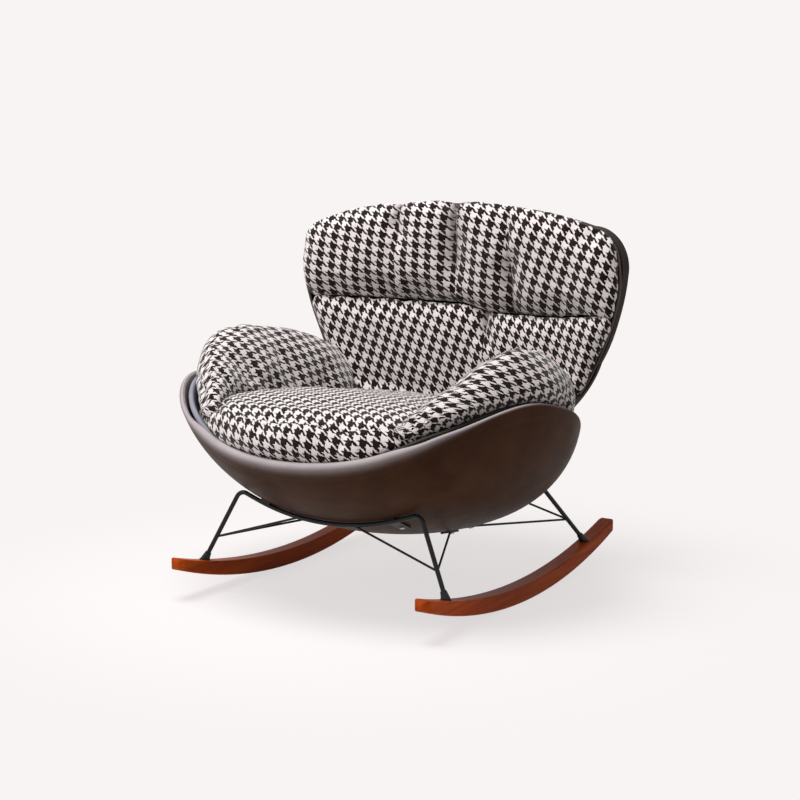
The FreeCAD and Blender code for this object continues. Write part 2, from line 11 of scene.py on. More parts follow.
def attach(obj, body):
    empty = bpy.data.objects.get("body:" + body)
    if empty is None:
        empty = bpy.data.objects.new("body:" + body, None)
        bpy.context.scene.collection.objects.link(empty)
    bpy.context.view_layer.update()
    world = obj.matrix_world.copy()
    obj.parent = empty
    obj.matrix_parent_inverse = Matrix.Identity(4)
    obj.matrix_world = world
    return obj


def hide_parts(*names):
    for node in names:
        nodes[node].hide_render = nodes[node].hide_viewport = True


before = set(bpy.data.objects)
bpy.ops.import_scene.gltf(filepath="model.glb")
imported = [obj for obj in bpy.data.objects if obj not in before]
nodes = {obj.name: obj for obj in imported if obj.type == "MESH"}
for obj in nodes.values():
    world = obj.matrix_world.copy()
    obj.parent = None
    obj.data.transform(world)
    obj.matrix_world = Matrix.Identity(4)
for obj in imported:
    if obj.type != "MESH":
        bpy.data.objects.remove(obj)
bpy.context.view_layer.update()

# The bowl, in metres, with sizes shared with the part's source
BOWL_HALF_WIDTH = 0.460
BOWL_FRONT = 0.478
BOWL_REAR = 0.320
BOWL_BOTTOM = 0.123
BOWL_TOP = 0.480
BOWL_SHIFT_LOW = 0.040
BOWL_SHIFT_HIGH = -0.058
BOWL_ROUND = 2.15
SHELL_WALL = 0.012
SLIT = 0.012
LIP_WALL = 0.025
FRAME_SHIFT = 0.00987
CLEARANCE = 0.0004
RIM_SHARES = (
    (-1.12, 0.66), (-0.99, 0.70), (-0.945, 0.730), (-0.885, 0.778), (-0.815, 0.852), (-0.725, 0.905),
    (-0.605, 0.955), (-0.450, 0.992), (-0.320, 0.988), (-0.215, 0.965), (-0.080, 0.927), (0.070, 0.858),
    (0.160, 0.795), (0.240, 0.728), (0.350, 0.668), (0.480, 0.640), (0.700, 0.630),
)

# The check's repeat and its dark yarns, the cloth's face size, and how finely the forms are divided
CHECK_ACROSS = 0.0310
CHECK_ALONG = 0.0238
DARK_YARNS = 4.15
CLOTH_FACE = 0.006
AROUND = 288
INNER_DEPTHS = (0.02, 0.05, 0.09, 0.14, 0.2, 0.27, 0.34)
STITCH_STEPS = 2400
LEATHER_GRAIN = 520

# The back, in metres: its outline, the depth of its front edge and of its rear surface
BACK_HALF_WIDTH = 0.434
BACK_FOOT = 0.266
BACK_HEAD = 0.848
BACK_WALL = 0.009
BACK_OUTLINE = (
    (0.0, 0.0), (0.30, 0.020), (0.545, 0.100), (0.750, 0.225), (0.868, 0.405), (0.960, 0.580),
    (0.996, 0.745), (0.957, 0.865), (0.780, 0.932), (0.430, 0.982), (0.0, 1.0),
)
FRONT_EDGE = (
    (0.20, 0.130), (0.38, 0.190), (0.46, 0.232), (0.53, 0.281), (0.61, 0.298), (0.73, 0.294),
    (0.86, 0.292), (0.95, 0.300), (1.10, 0.310),
)
REAR_SURFACE = (
    (0.14, 0.236, 0.030), (0.21, 0.242, 0.034), (0.28, 0.250, 0.040), (0.357, 0.270, 0.058),
    (0.42, 0.307, 0.140), (0.49, 0.346, 0.222), (0.585, 0.384, 0.279), (0.68, 0.403, 0.297),
    (0.775, 0.411, 0.312), (0.87, 0.404, 0.322), (0.96, 0.388, 0.324), (1.05, 0.368, 0.322),
)
TUCK_HEIGHT = 0.6160
TRIM_RADIUS = 0.0032
TRIM_LOW = 0.430
EDGE_SINK = 0.0075
PAD_HALF_WIDTH = 0.40

# Arms: station along Y, then the ridge's x, and the outer and the inner foot as x and z, as shares
ARM_SHARES = (
    (-0.805, 0.513, 0.557, 0.875, 0.478, 0.871), (-0.700, 0.605, 0.695, 0.940, 0.525, 0.910),
    (-0.555, 0.725, 0.810, 0.987, 0.557, 0.912), (-0.400, 0.812, 0.900, 1.012, 0.570, 0.900),
    (-0.230, 0.846, 0.936, 0.988, 0.575, 0.880), (-0.042, 0.841, 0.922, 0.925, 0.570, 0.843),
    (0.125, 0.813, 0.874, 0.845, 0.557, 0.812), (0.270, 0.790, 0.826, 0.835, 0.543, 0.787),
    (0.390, 0.762, 0.787, 0.840, 0.555, 0.780), (0.460, 0.735, 0.760, 0.850, 0.590, 0.790),
)
ARM_FRONT = -0.392
# Height of each arm's ridge along Y, as they lie in the photo: one is fuller at its rear
NEAR_RIDGE = (
    (-0.385, 0.432), (-0.335, 0.492), (-0.265, 0.540), (-0.191, 0.574), (-0.130, 0.584), (-0.080, 0.577),
    (-0.030, 0.560), (0.030, 0.535), (0.090, 0.503), (0.150, 0.468), (0.220, 0.425),
)
FAR_RIDGE = (
    (-0.385, 0.434), (-0.335, 0.497), (-0.265, 0.549), (-0.191, 0.578), (-0.110, 0.586), (-0.030, 0.582),
    (0.034, 0.574), (0.103, 0.556), (0.165, 0.533), (0.220, 0.505),
)
# Seat: half of its outline from above, front to rear, and the height of its top along Y
SEAT_OUTLINE = (
    (0.0, -0.452), (0.095, -0.444), (0.180, -0.420), (0.250, -0.384), (0.312, -0.335), (0.354, -0.275),
    (0.368, -0.205), (0.352, -0.120), (0.325, -0.030), (0.308, 0.060), (0.290, 0.160), (0.245, 0.224),
    (0.130, 0.246), (0.0, 0.248),
)
SEAT_TOP = (
    (-0.460, 0.438), (-0.420, 0.442), (-0.360, 0.447), (-0.280, 0.450), (-0.200, 0.449), (-0.120, 0.444),
    (-0.040, 0.434), (0.060, 0.419), (0.160, 0.398), (0.250, 0.380),
)


# Mesh helpers

def mesh_object(name, points, faces):
    mesh = bpy.data.meshes.new(name)
    mesh.from_pydata([tuple(p) for p in points], [], [tuple(int(i) for i in f) for f in faces])
    mesh.validate()
    mesh.update()
    piece = bpy.data.objects.new(name, mesh)
    bpy.context.scene.collection.objects.link(piece)
    smooth_faces(piece)
    return piece


def smooth_faces(piece):
    for face in piece.data.polygons:
        face.use_smooth = True


def ring_faces(rows, columns):
    faces = []
    for r in range(rows - 1):
        for c in range(columns):
            n = (c + 1) % columns
            faces.append((r * columns + c, r * columns + n, (r + 1) * columns + n, (r + 1) * columns + c))
    return faces


def capped_faces(rows, columns):
    """Rings of faces with both ends closed."""
    faces = ring_faces(rows, columns)
    faces.append(tuple(range(columns))[::-1])
    faces.append(tuple(range((rows - 1) * columns, rows * columns)))
    return faces


def spline_through(xs, ys):
    """A natural cubic spline through points, as a function."""
    xs = np.asarray(xs, float)
    ys = np.asarray(ys, float)
    n = len(xs)
    step = np.diff(xs)
    a = np.zeros((n, n))
    b = np.zeros(n)
    a[0, 0] = a[-1, -1] = 1.0
    for i in range(1, n - 1):
        a[i, i - 1] = step[i - 1]
        a[i, i] = 2 * (step[i - 1] + step[i])
        a[i, i + 1] = step[i]
        b[i] = 6 * ((ys[i + 1] - ys[i]) / step[i] - (ys[i] - ys[i - 1]) / step[i - 1])
    bend = np.linalg.solve(a, b)

    def value(x):
        x = np.asarray(x, float)
        i = np.clip(np.searchsorted(xs, x) - 1, 0, n - 2)
        h = step[i]
        left = (xs[i + 1] - x) / h
        right = (x - xs[i]) / h
        return (left * ys[i] + right * ys[i + 1]
                + ((left ** 3 - left) * bend[i] + (right ** 3 - right) * bend[i + 1]) * h * h / 6)
    return value


def column_spline(rows, x_scale=1.0, y_scale=1.0, column=1):
    """A spline through one column of a table, against the table's first column."""
    return spline_through([row[0] * x_scale for row in rows], [row[column] * y_scale for row in rows])


# The bowl's form

rim_height = column_spline(RIM_SHARES, BOWL_FRONT, BOWL_TOP)


def bowl_point(turn, climb, inset=0.0, side_gap=0.0):
    """A point of the bowl. turn runs round from the front, climb from the belly (0) to the top (pi/2)."""
    spread = np.sin(climb) ** (2 / BOWL_ROUND)
    share = 1 - np.cos(climb) ** (2 / BOWL_ROUND)
    middle = BOWL_SHIFT_HIGH + (BOWL_SHIFT_LOW - BOWL_SHIFT_HIGH) * (1 - share)
    bottom = BOWL_BOTTOM + inset
    ahead = np.cos(turn)
    reach = np.where(ahead > 0, BOWL_FRONT, BOWL_REAR) - inset
    return np.stack([
        (BOWL_HALF_WIDTH - inset - side_gap) * spread * np.sin(turn) + 0 * share,
        middle - reach * spread * ahead,
        bottom + (BOWL_TOP - bottom) * share + 0 * turn,
    ], -1)


def rim_climb(turn, inset=0.0, side_gap=0.0, lower=0.0):
    """How far up the bowl its rim lies at each turn."""
    low = np.full(turn.shape, 0.3)
    high = np.full(turn.shape, math.pi / 2 - 1e-4)
    for _ in range(40):
        mid = (low + high) / 2
        p = bowl_point(turn, mid, inset, side_gap)
        above = p[:, 2] > rim_height(p[:, 1]) - lower
        high = np.where(above, mid, high)
        low = np.where(above, low, mid)
    return low


def even_turns(count):
    return np.linspace(0, 2 * math.pi, count, endpoint=False)


def unit(vectors):
    return vectors / np.linalg.norm(vectors, axis=1)[:, None]


def smooth_step(x, a, b):
    s = np.clip((x - a) / (b - a), 0, 1)
    return s * s * (3 - 2 * s)


def rolled_shell(name, inset, side_gap, wall, roll_drop, sheen_reach, one_sided=0, groove=None):
    """A wall of the bowl with a rolled rim, with a painted sheen along the rim on both sides or on the
    sitter's right alone.

    wall is a function that gives the thickness at each turn."""
    around, up = AROUND, 46
    turn = even_turns(around)
    top = rim_climb(turn, inset, side_gap, roll_drop)
    rows = []
    shares = np.sin(np.linspace(0.03, 1, up) * math.pi / 2)
    for share in shares:
        rows.append(bowl_point(turn, top * share, inset, side_gap))
    outer_edge = rows[-1]
    below = bowl_point(turn, top - 0.02, inset, side_gap)
    rise = unit(outer_edge - below)
    thick = wall(turn)
    ahead = unit(np.roll(outer_edge, -1, 0) - np.roll(outer_edge, 1, 0))
    inward = unit(np.cross(rise, ahead))
    inward *= np.sign(np.sum((np.array([0, -0.06, 0.3]) - outer_edge) * inward, 1))[:, None]
    centre = outer_edge + inward * (thick / 2)[:, None]
    for angle in np.linspace(0, math.pi, 13)[1:]:
        rows.append(centre - inward * (thick / 2 * math.cos(angle))[:, None]
                    + rise * (thick * 0.5 * math.sin(angle))[:, None])
    for depth in INNER_DEPTHS:
        climb = np.maximum(top - depth / 0.42, 0.12)
        p = bowl_point(turn, climb, inset, side_gap)
        rows.append(p + inward * thick[:, None])
    if groove:
        offset, depth, width = groove
        arc_from_top = np.zeros(around)
        for r in range(up - 1, 0, -1):
            arc_from_top += np.linalg.norm(rows[r] - rows[r - 1], axis=1)
            dent = depth * np.exp(-((arc_from_top - offset) / width) ** 2)
            rows[r - 1] = rows[r - 1] + inward * dent[:, None]
    points = np.concatenate(rows)
    points[:, 1] += FRAME_SHIFT
    faces = ring_faces(len(rows), around)
    faces.append(tuple(range(around))[::-1])
    piece = mesh_object(name, points, faces)
    steps = np.linalg.norm(np.diff(np.stack(rows), axis=0), axis=2)
    run = np.vstack([np.zeros(around), np.cumsum(steps, axis=0)])
    away = run - run[up + 5]
    # Painted sheen: a lighter grey along the rim's roll stands in for its highlight; with one_sided it stays
    # on the sitter's right alone.
    reach = np.where(away < 0, sheen_reach, 0.020)
    lit = 1 - one_sided * smooth_step(points[:, 0], -0.30, -0.10)
    mark_points(piece, "worn", np.exp(-(away / reach) ** 2).ravel() * lit)
    return piece, centre, inward, rise, thick


def from_front(turn):
    """How far round from the front, on either side."""
    return np.abs((turn + math.pi) % (2 * math.pi) - math.pi)


def lip_wall(turn):
    thinning = smooth_step(from_front(turn), math.radians(32), math.radians(43))
    return LIP_WALL + (SHELL_WALL - LIP_WALL) * thinning


def band_wall(turn):
    return 0 * turn + SHELL_WALL


# Materials

def material(name):
    made = bpy.data.materials.new(name)
    made.use_nodes = True
    tree = made.node_tree
    tree.nodes.clear()
    out = tree.nodes.new("ShaderNodeOutputMaterial")
    shader = tree.nodes.new("ShaderNodeBsdfPrincipled")
    tree.links.new(shader.outputs[0], out.inputs[0])
    return made, tree, shader


def add(tree, kind, **values):
    node = tree.nodes.new(kind)
    for key, value in values.items():
        setattr(node, key, value)
    return node


def math_node(tree, operation, a, b=None, c=None):
    node = add(tree, "ShaderNodeMath", operation=operation)
    for socket, value in zip(node.inputs, (a, b, c)):
        if value is None:
            continue
        if isinstance(value, (int, float)):
            socket.default_value = value
        else:
            tree.links.new(value, socket)
    return node.outputs[0]


def noise(tree, coords, scale, detail=3.0, rough=0.5, stretch=None, output="Fac"):
    if stretch:
        mapping = add(tree, "ShaderNodeMapping")
        mapping.inputs["Scale"].default_value = stretch
        tree.links.new(coords, mapping.inputs["Vector"])
        coords = mapping.outputs[0]
    node = add(tree, "ShaderNodeTexNoise")
    node.inputs["Scale"].default_value = scale
    node.inputs["Detail"].default_value = detail
    node.inputs["Roughness"].default_value = rough
    tree.links.new(coords, node.inputs["Vector"])
    return node.outputs[output]


def ramp(tree, factor, stops):
    node = add(tree, "ShaderNodeValToRGB")
    elements = node.color_ramp.elements
    while len(elements) < len(stops):
        elements.new(0.5)
    for element, (place, colour) in zip(elements, stops):
        element.position = place
        element.color = (*colour, 1)
    tree.links.new(factor, node.inputs[0])
    return node.outputs[0]


def bump(tree, height, strength, distance, normal=None):
    node = add(tree, "ShaderNodeBump")
    node.inputs["Strength"].default_value = strength
    node.inputs["Distance"].default_value = distance
    tree.links.new(height, node.inputs["Height"])
    if normal is not None:
        tree.links.new(normal, node.inputs["Normal"])
    return node.outputs[0]


def mix(tree, factor, a, b):
    node = add(tree, "ShaderNodeMix", data_type="RGBA")
    for socket, source in (("Factor", factor), ("A", a), ("B", b)):
        tree.links.new(source, node.inputs[socket])
    return node.outputs["Result"]


def blend_shaders(tree, share, first, second, out):
    node = tree.nodes.new("ShaderNodeMixShader")
    for socket, source in zip(node.inputs, (share, first, second)):
        tree.links.new(source, socket)
    tree.links.new(node.outputs[0], out.inputs[0])


def surface(shader, rough, gloss):
    shader.inputs["Roughness"].default_value = rough
    shader.inputs["Specular IOR Level"].default_value = gloss


def object_coords(tree):
    return add(tree, "ShaderNodeTexCoord").outputs["Object"]


def leather(name, dark, light, rough, gloss, edge=None):
    """Grained leather. edge is the colour of the painted sheen, a lighter highlight that it takes along the
    marked parts of its mesh.
    """
    made, tree, shader = material(name)
    coords = object_coords(tree)
    mottle = noise(tree, coords, 9.0, 4.0, 0.6)
    colour = ramp(tree, mottle, ((0.3, dark), (0.7, light)))
    if edge:
        # Painted sheen: the mesh's mark mixes the leather toward a lighter grey highlight colour.
        worn = add(tree, "ShaderNodeAttribute", attribute_name="worn")
        edge_light = [channel * 1.25 for channel in edge]
        edge_colour = ramp(tree, mottle, ((0.3, edge), (0.7, edge_light)))
        colour = mix(tree, worn.outputs["Fac"], colour, edge_colour)
    tree.links.new(colour, shader.inputs["Base Color"])
    cells = add(tree, "ShaderNodeTexVoronoi", feature="F1")
    cells.inputs["Scale"].default_value = LEATHER_GRAIN
    tree.links.new(coords, cells.inputs["Vector"])
    fine = noise(tree, coords, LEATHER_GRAIN * 1.7, 2.0)
    height = math_node(tree, "ADD", cells.outputs["Distance"], fine)
    soft = bump(tree, noise(tree, coords, 14.0, 2.0), 0.25, 0.004)
    tree.links.new(bump(tree, height, 0.22, 0.0006, soft), shader.inputs["Normal"])
    spread = math_node(tree, "MULTIPLY_ADD", noise(tree, coords, 30.0), 0.16, rough - 0.08)
    tree.links.new(spread, shader.inputs["Roughness"])
    shader.inputs["Specular IOR Level"].default_value = gloss
    return made


def houndstooth(name):
    """A twill of four dark and four light threads each way, drawn from the piece's own cloth lines."""
    made, tree, shader = material(name)
    cloth = add(tree, "ShaderNodeUVMap", uv_map="cloth").outputs[0]
    wobble = noise(tree, object_coords(tree), 260.0, 1.0, output="Color")
    centred = add(tree, "ShaderNodeVectorMath", operation="SUBTRACT")
    tree.links.new(wobble, centred.inputs[0])
    centred.inputs[1].default_value = (0.5, 0.5, 0.5)
    small = add(tree, "ShaderNodeVectorMath", operation="SCALE")
    tree.links.new(centred.outputs[0], small.inputs[0])
    small.inputs["Scale"].default_value = 0.0030
    shifted = add(tree, "ShaderNodeVectorMath", operation="ADD")
    tree.links.new(cloth, shifted.inputs[0])
    tree.links.new(small.outputs[0], shifted.inputs[1])
    parts = add(tree, "ShaderNodeSeparateXYZ")
    tree.links.new(shifted.outputs[0], parts.inputs[0])
    across = math_node(tree, "DIVIDE", parts.outputs[0], CHECK_ACROSS / 8)
    along = math_node(tree, "DIVIDE", parts.outputs[1], CHECK_ALONG / 8)
    i = math_node(tree, "SNAP", across, 0.5)
    j = math_node(tree, "SNAP", along, 0.5)
    warp_dark = math_node(tree, "LESS_THAN", math_node(tree, "FLOORED_MODULO", across, 8.0), DARK_YARNS)
    weft_dark = math_node(tree, "LESS_THAN", math_node(tree, "FLOORED_MODULO", along, 8.0), DARK_YARNS)
    twill = math_node(tree, "FLOORED_MODULO", math_node(tree, "ADD", i, j), 4.0)
    warp_up = math_node(tree, "LESS_THAN", twill, 2.25)
    weft_up = math_node(tree, "GREATER_THAN", twill, 1.75)
    dark = math_node(tree, "MAXIMUM", math_node(tree, "MULTIPLY", warp_up, warp_dark),
                     math_node(tree, "MULTIPLY", weft_up, weft_dark))
    solid = math_node(tree, "MULTIPLY", warp_dark, weft_dark)
    dark = math_node(tree, "MAXIMUM", dark, solid)
    yarn = noise(tree, object_coords(tree), 900.0, 2.0)
    light_yarn = ramp(tree, yarn, ((0.3, (0.56, 0.50, 0.495)), (0.7, (0.77, 0.71, 0.705))))
    dark_yarn = ramp(tree, yarn, ((0.3, (0.006, 0.003, 0.0025)), (0.72, (0.016, 0.008, 0.007))))
    check = mix(tree, dark, light_yarn, dark_yarn)
    # Painted shade: where the mesh is marked, in seams and in the tuck between cushions, the check is mixed
    # toward darker yarn colours.
    crease = add(tree, "ShaderNodeAttribute", attribute_name="crease")
    crease_shade_yarn = ramp(tree, yarn, ((0.3, (0.012, 0.005, 0.004)), (0.7, (0.030, 0.016, 0.013))))
    shade = math_node(tree, "MULTIPLY", crease.outputs["Fac"], 0.75)
    tree.links.new(mix(tree, shade, check, crease_shade_yarn), shader.inputs["Base Color"])
    ridges = []
    for place in (across, along):
        wave = math_node(tree, "SINE", math_node(tree, "MULTIPLY", place, math.pi))
        ridges.append(math_node(tree, "ABSOLUTE", wave))
    woven = math_node(tree, "MULTIPLY", *ridges)
    height = math_node(tree, "MULTIPLY_ADD", yarn, 0.5, woven)
    tree.links.new(bump(tree, height, 0.7, 0.0009), shader.inputs["Normal"])
    surface(shader, 0.92, 0.08)
    shader.inputs["Sheen Weight"].default_value = 0.34
    shader.inputs["Sheen Roughness"].default_value = 0.38
    return made


def stained_wood(name):
    made, tree, shader = material(name)
    coords = object_coords(tree)
    grain = noise(tree, coords, 55.0, 6.0, 0.65, (1.0, 0.055, 1.0))
    fine = noise(tree, coords, 420.0, 3.0, 0.6, (1.0, 0.03, 1.0))
    both = math_node(tree, "MULTIPLY_ADD", fine, 0.35, math_node(tree, "MULTIPLY", grain, 0.75))
    colour = ramp(tree, both, ((0.32, (0.125, 0.013, 0.001)), (0.50, (0.265, 0.035, 0.002)),
                               (0.68, (0.390, 0.064, 0.004))))
    tree.links.new(colour, shader.inputs["Base Color"])
    tree.links.new(bump(tree, both, 0.12, 0.0006), shader.inputs["Normal"])
    surface(shader, 0.42, 0.05)
    return made


def steel(name, dark, light, patches, grain, relief):
    """Soft patches of two tones over a fine grain."""
    made, tree, shader = material(name)
    coords = object_coords(tree)
    tone = ramp(tree, noise(tree, coords, patches), ((0.3, dark), (0.7, light)))
    tree.links.new(tone, shader.inputs["Base Color"])
    tree.links.new(bump(tree, noise(tree, coords, *grain), relief, 0.0003), shader.inputs["Normal"])
    return made, shader


def painted_steel(name):
    made, shader = steel(name, (0.004, 0.004, 0.0045), (0.008, 0.008, 0.009), 40.0, (900.0, 2.0), 0.15)
    surface(shader, 0.45, 0.28)
    return made


def plain_steel(name):
    made, shader = steel(name, (0.36, 0.35, 0.34), (0.55, 0.54, 0.53), 120.0, (700.0,), 0.1)
    shader.inputs["Metallic"].default_value = 1.0
    shader.inputs["Roughness"].default_value = 0.36
    return made


# The edge colours are painted sheen: lighter greys that stand in for the rims' highlights; the tub band's is
# bluish.
shell_leather = leather("shell_leather_look", (0.027, 0.009, 0.003), (0.050, 0.020, 0.008), 0.5, 0.06,
                        edge=(0.280, 0.248, 0.256))
tub_leather = leather("tub_leather_look", (0.014, 0.009, 0.007), (0.026, 0.018, 0.015), 0.5, 0.10,
                      edge=(0.190, 0.190, 0.222))
back_leather = leather("back_leather_look", (0.007, 0.003, 0.002), (0.018, 0.009, 0.006), 0.55, 0.08)
trim_leather = leather("trim_leather_look", (0.050, 0.034, 0.028), (0.090, 0.066, 0.058), 0.5, 0.2)
check_fabric = houndstooth("check_fabric_look")
rocker_wood = stained_wood("rocker_wood_look")
black_steel = painted_steel("black_steel_look")
fastener_steel = plain_steel("fastener_look")

NODE_LOOKS = {
    "rocker": rocker_wood, "foot_bolts": fastener_steel, "shell_screws": fastener_steel,
    "back_bolts": fastener_steel, "back_shell": back_leather,
}


def dress(node):
    look = black_steel
    for key, value in NODE_LOOKS.items():
        if node.name.startswith(key):
            look = value
    node.data.materials.clear()
    node.data.materials.append(look)


# Curves and filled forms

def closed_curve(points, count):
    """A smooth closed curve through points, at even steps along it, and its length."""
    p = np.asarray(points, float)
    ahead = np.roll(p, -1, 0)
    gap = np.linalg.norm(ahead - p, axis=1)[:, None]
    before = np.roll(gap, 1, 0)
    slope = (ahead - p) / gap
    pull = (slope * before + np.roll(slope, 1, 0) * gap) / (gap + before)
    rows = []
    for s in np.linspace(0, 1, 24, endpoint=False):
        rows.append((2 * s ** 3 - 3 * s ** 2 + 1) * p + (s ** 3 - 2 * s ** 2 + s) * gap * pull
                    + (3 * s ** 2 - 2 * s ** 3) * ahead + (s ** 3 - s ** 2) * gap * np.roll(pull, -1, 0))
    dense = np.stack(rows, 1).reshape(-1, p.shape[1])
    dense = np.vstack([dense, dense[:1]])
    length = np.concatenate([[0], np.cumsum(np.linalg.norm(np.diff(dense, axis=0), axis=1))])
    even = np.linspace(0, length[-1], count, endpoint=False)
    return np.stack([np.interp(even, length, dense[:, k]) for k in range(p.shape[1])], 1), length[-1]


def outward(loop):
    """Directions straight out of a flat loop."""
    along = np.roll(loop, -1, 0) - np.roll(loop, 1, 0)
    out = unit(np.stack([along[:, 1], -along[:, 0]], 1))
    area = np.sum(loop[:, 0] * np.roll(loop[:, 1], -1) - loop[:, 1] * np.roll(loop[:, 0], -1))
    return out if area > 0 else -out


def across_back(flat, depth):
    """Points of the back from their width and height, and their depth."""
    return np.stack([flat[:, 0], depth + FRAME_SHIFT, flat[:, 1]], 1)


def across_seat(flat, height):
    return np.stack([flat[:, 0], flat[:, 1] + FRAME_SHIFT, height], 1)


def face_outward(piece):
    work = bmesh.new()
    work.from_mesh(piece.data)
    bmesh.ops.recalc_face_normals(work, faces=work.faces)
    work.to_mesh(piece.data)
    work.free()


def filled_form(name, loop, centre, rings, top, bottom, place):
    """A closed form: a loop with rings round its edge, filled on both sides toward a centre."""
    fill = 18
    out = outward(loop)
    rows = []
    first = loop - out * np.broadcast_to(rings[0][0], len(loop))[:, None]
    for share in np.linspace(0.06, 1, fill, endpoint=False):
        flat = centre + (first - centre) * share
        rows.append(place(flat, bottom(flat)))
    for inset, depth in rings:
        flat = loop - out * np.broadcast_to(inset, len(loop))[:, None]
        rows.append(place(flat, depth(flat)))
    for share in np.linspace(1, 0.06, fill + 1)[1:]:
        inner = centre + (flat - centre) * share
        rows.append(place(inner, top(inner)))
    piece = mesh_object(name, np.concatenate(rows), capped_faces(len(rows), len(loop)))
    face_outward(piece)
    return piece


def rolled_rings(radius, level, top, steps=7):
    """Rings that turn from a form's widest line over to its top."""
    rings = []
    for angle in np.linspace(0, math.pi / 2, steps):
        rings.append((radius * (1 - math.cos(angle)),
                      lambda flat, up=math.sin(angle): level(flat) + (top(flat) - level(flat)) * up))
    return rings


def level_at(value):
    return lambda flat: np.full(len(flat), value)


def nearest_on(loop, flat):
    """For each point, its nearest point of a loop."""
    best = np.empty(len(flat), int)
    for start in range(0, len(flat), 4000):
        part = flat[start:start + 4000]
        gap = ((part[:, None, :] - loop[None, :, :]) ** 2).sum(2)
        best[start:start + 4000] = gap.argmin(1)
    return best


# Soft pieces

def rows_of(items, key):
    values = np.zeros(len(items) * 3)
    items.foreach_get(key, values)
    return values.reshape(-1, 3)


def coords_of(piece):
    return rows_of(piece.data.vertices, "co")


def face_centres(piece):
    return rows_of(piece.data.polygons, "center")


def set_coords(piece, co):
    piece.data.vertices.foreach_set("co", np.ascontiguousarray(co, float).ravel())
    piece.data.update()


def remeshed(piece, rounds=5):
    """The same form in small even faces."""
    remesh = piece.modifiers.new("remesh", "REMESH")
    remesh.mode = "VOXEL"
    remesh.voxel_size = CLOTH_FACE
    relax = piece.modifiers.new("relax", "SMOOTH")
    relax.factor = 0.5
    relax.iterations = rounds
    bpy.context.view_layer.update()
    graph = bpy.context.evaluated_depsgraph_get()
    mesh = bpy.data.meshes.new_from_object(piece.evaluated_get(graph))
    piece.modifiers.clear()
    old = piece.data
    piece.data = mesh
    bpy.data.meshes.remove(old)
    return coords_of(piece)


def lay_cloth(piece, places, choice=0):
    """Writes the cloth's own lines, in metres. choice picks one of several places for each face."""
    layer = piece.data.uv_layers.new(name="cloth")
    index = np.zeros(len(piece.data.loops), int)
    piece.data.loops.foreach_get("vertex_index", index)
    totals = np.zeros(len(piece.data.polygons), int)
    piece.data.polygons.foreach_get("loop_total", totals)
    which = np.repeat(np.broadcast_to(choice, len(totals)), totals)
    uv = np.stack(places)[which, index]
    layer.data.foreach_set("uv", np.ascontiguousarray(uv, float).ravel())


def mark_points(piece, name, values):
    """Keeps a value from 0 to 1 at each point, for the material."""
    mark = piece.data.attributes.new(name, "FLOAT", "POINT")
    mark.data.foreach_set("value", np.clip(values, 0, 1).astype(np.float32))


def turned(u, v, degrees):
    angle = np.radians(degrees)
    return np.stack([u * np.cos(angle) - v * np.sin(angle), v * np.cos(angle) + u * np.sin(angle)], 1)


def ripples(co, size, depth, seed):
    """Gentle unevenness with finer wrinkles in it, the same each time."""
    shift = Vector((seed, seed * 0.37, seed * 1.7))
    return depth * np.array([field.noise(Vector(point) / size + shift)
                             + 0.30 * field.noise(Vector(point) / (0.36 * size) + shift * 2) for point in co])


def puff(piece, held, pressure, cap):
    """Cloth under pressure, held where held is true, and moved by no more than cap."""
    rest = coords_of(piece)
    group = piece.vertex_groups.new(name="held")
    group.add([int(k) for k in np.nonzero(held)[0]], 1.0, "REPLACE")
    cloth = piece.modifiers.new("cloth", "CLOTH")
    settings = cloth.settings
    settings.quality = 4
    settings.mass = 0.25
    settings.tension_stiffness = 18
    settings.compression_stiffness = 18
    settings.shear_stiffness = 6
    settings.bending_stiffness = 0.6
    settings.use_pressure = True
    settings.uniform_pressure_force = pressure
    settings.shrink_min = -0.02
    settings.effector_weights.gravity = 0.0
    settings.vertex_group_mass = "held"
    cloth.collision_settings.use_self_collision = False
    cloth.collision_settings.use_collision = False
    scene = bpy.context.scene
    frames = 14
    cloth.point_cache.frame_start = 1
    cloth.point_cache.frame_end = frames
    for number in range(1, frames + 1):
        scene.frame_set(number)
    graph = bpy.context.evaluated_depsgraph_get()
    swollen = piece.evaluated_get(graph).to_mesh()
    move = rows_of(swollen.vertices, "co") - rest
    piece.modifiers.clear()
    size = np.linalg.norm(move, axis=1)
    move *= np.minimum(1, cap / np.maximum(size, 1e-9))[:, None]
    set_coords(piece, rest + move)
    scene.frame_set(1)


def inside_bowl(co, gap=0.0015):
    """Brings points below the bowl's rim inside the tub's wall."""
    inset = 2 * SHELL_WALL + CLEARANCE + gap
    bottom = BOWL_BOTTOM + inset
    z = np.maximum(co[:, 2], bottom + 0.004)
    left = np.clip(1 - (z - bottom) / (BOWL_TOP - bottom), 0, 1)
    spread = np.sin(np.arccos(left ** (BOWL_ROUND / 2))) ** (2 / BOWL_ROUND)
    middle = BOWL_SHIFT_HIGH + (BOWL_SHIFT_LOW - BOWL_SHIFT_HIGH) * left + FRAME_SHIFT
    y = co[:, 1] - middle
    wide = (BOWL_HALF_WIDTH - inset - SLIT) * spread
    deep = (np.where(y < 0, BOWL_FRONT, BOWL_REAR) - inset) * spread
    share = np.sqrt((co[:, 0] / wide) ** 2 + (y / deep) ** 2)
    below = smooth_step(rim_height(co[:, 1] - FRAME_SHIFT) - 0.004 - z, -0.004, 0.004)
    keep = 1 + (1 / np.maximum(share, 1) - 1) * below
    return np.stack([co[:, 0] * keep, middle + y * keep, z], 1)


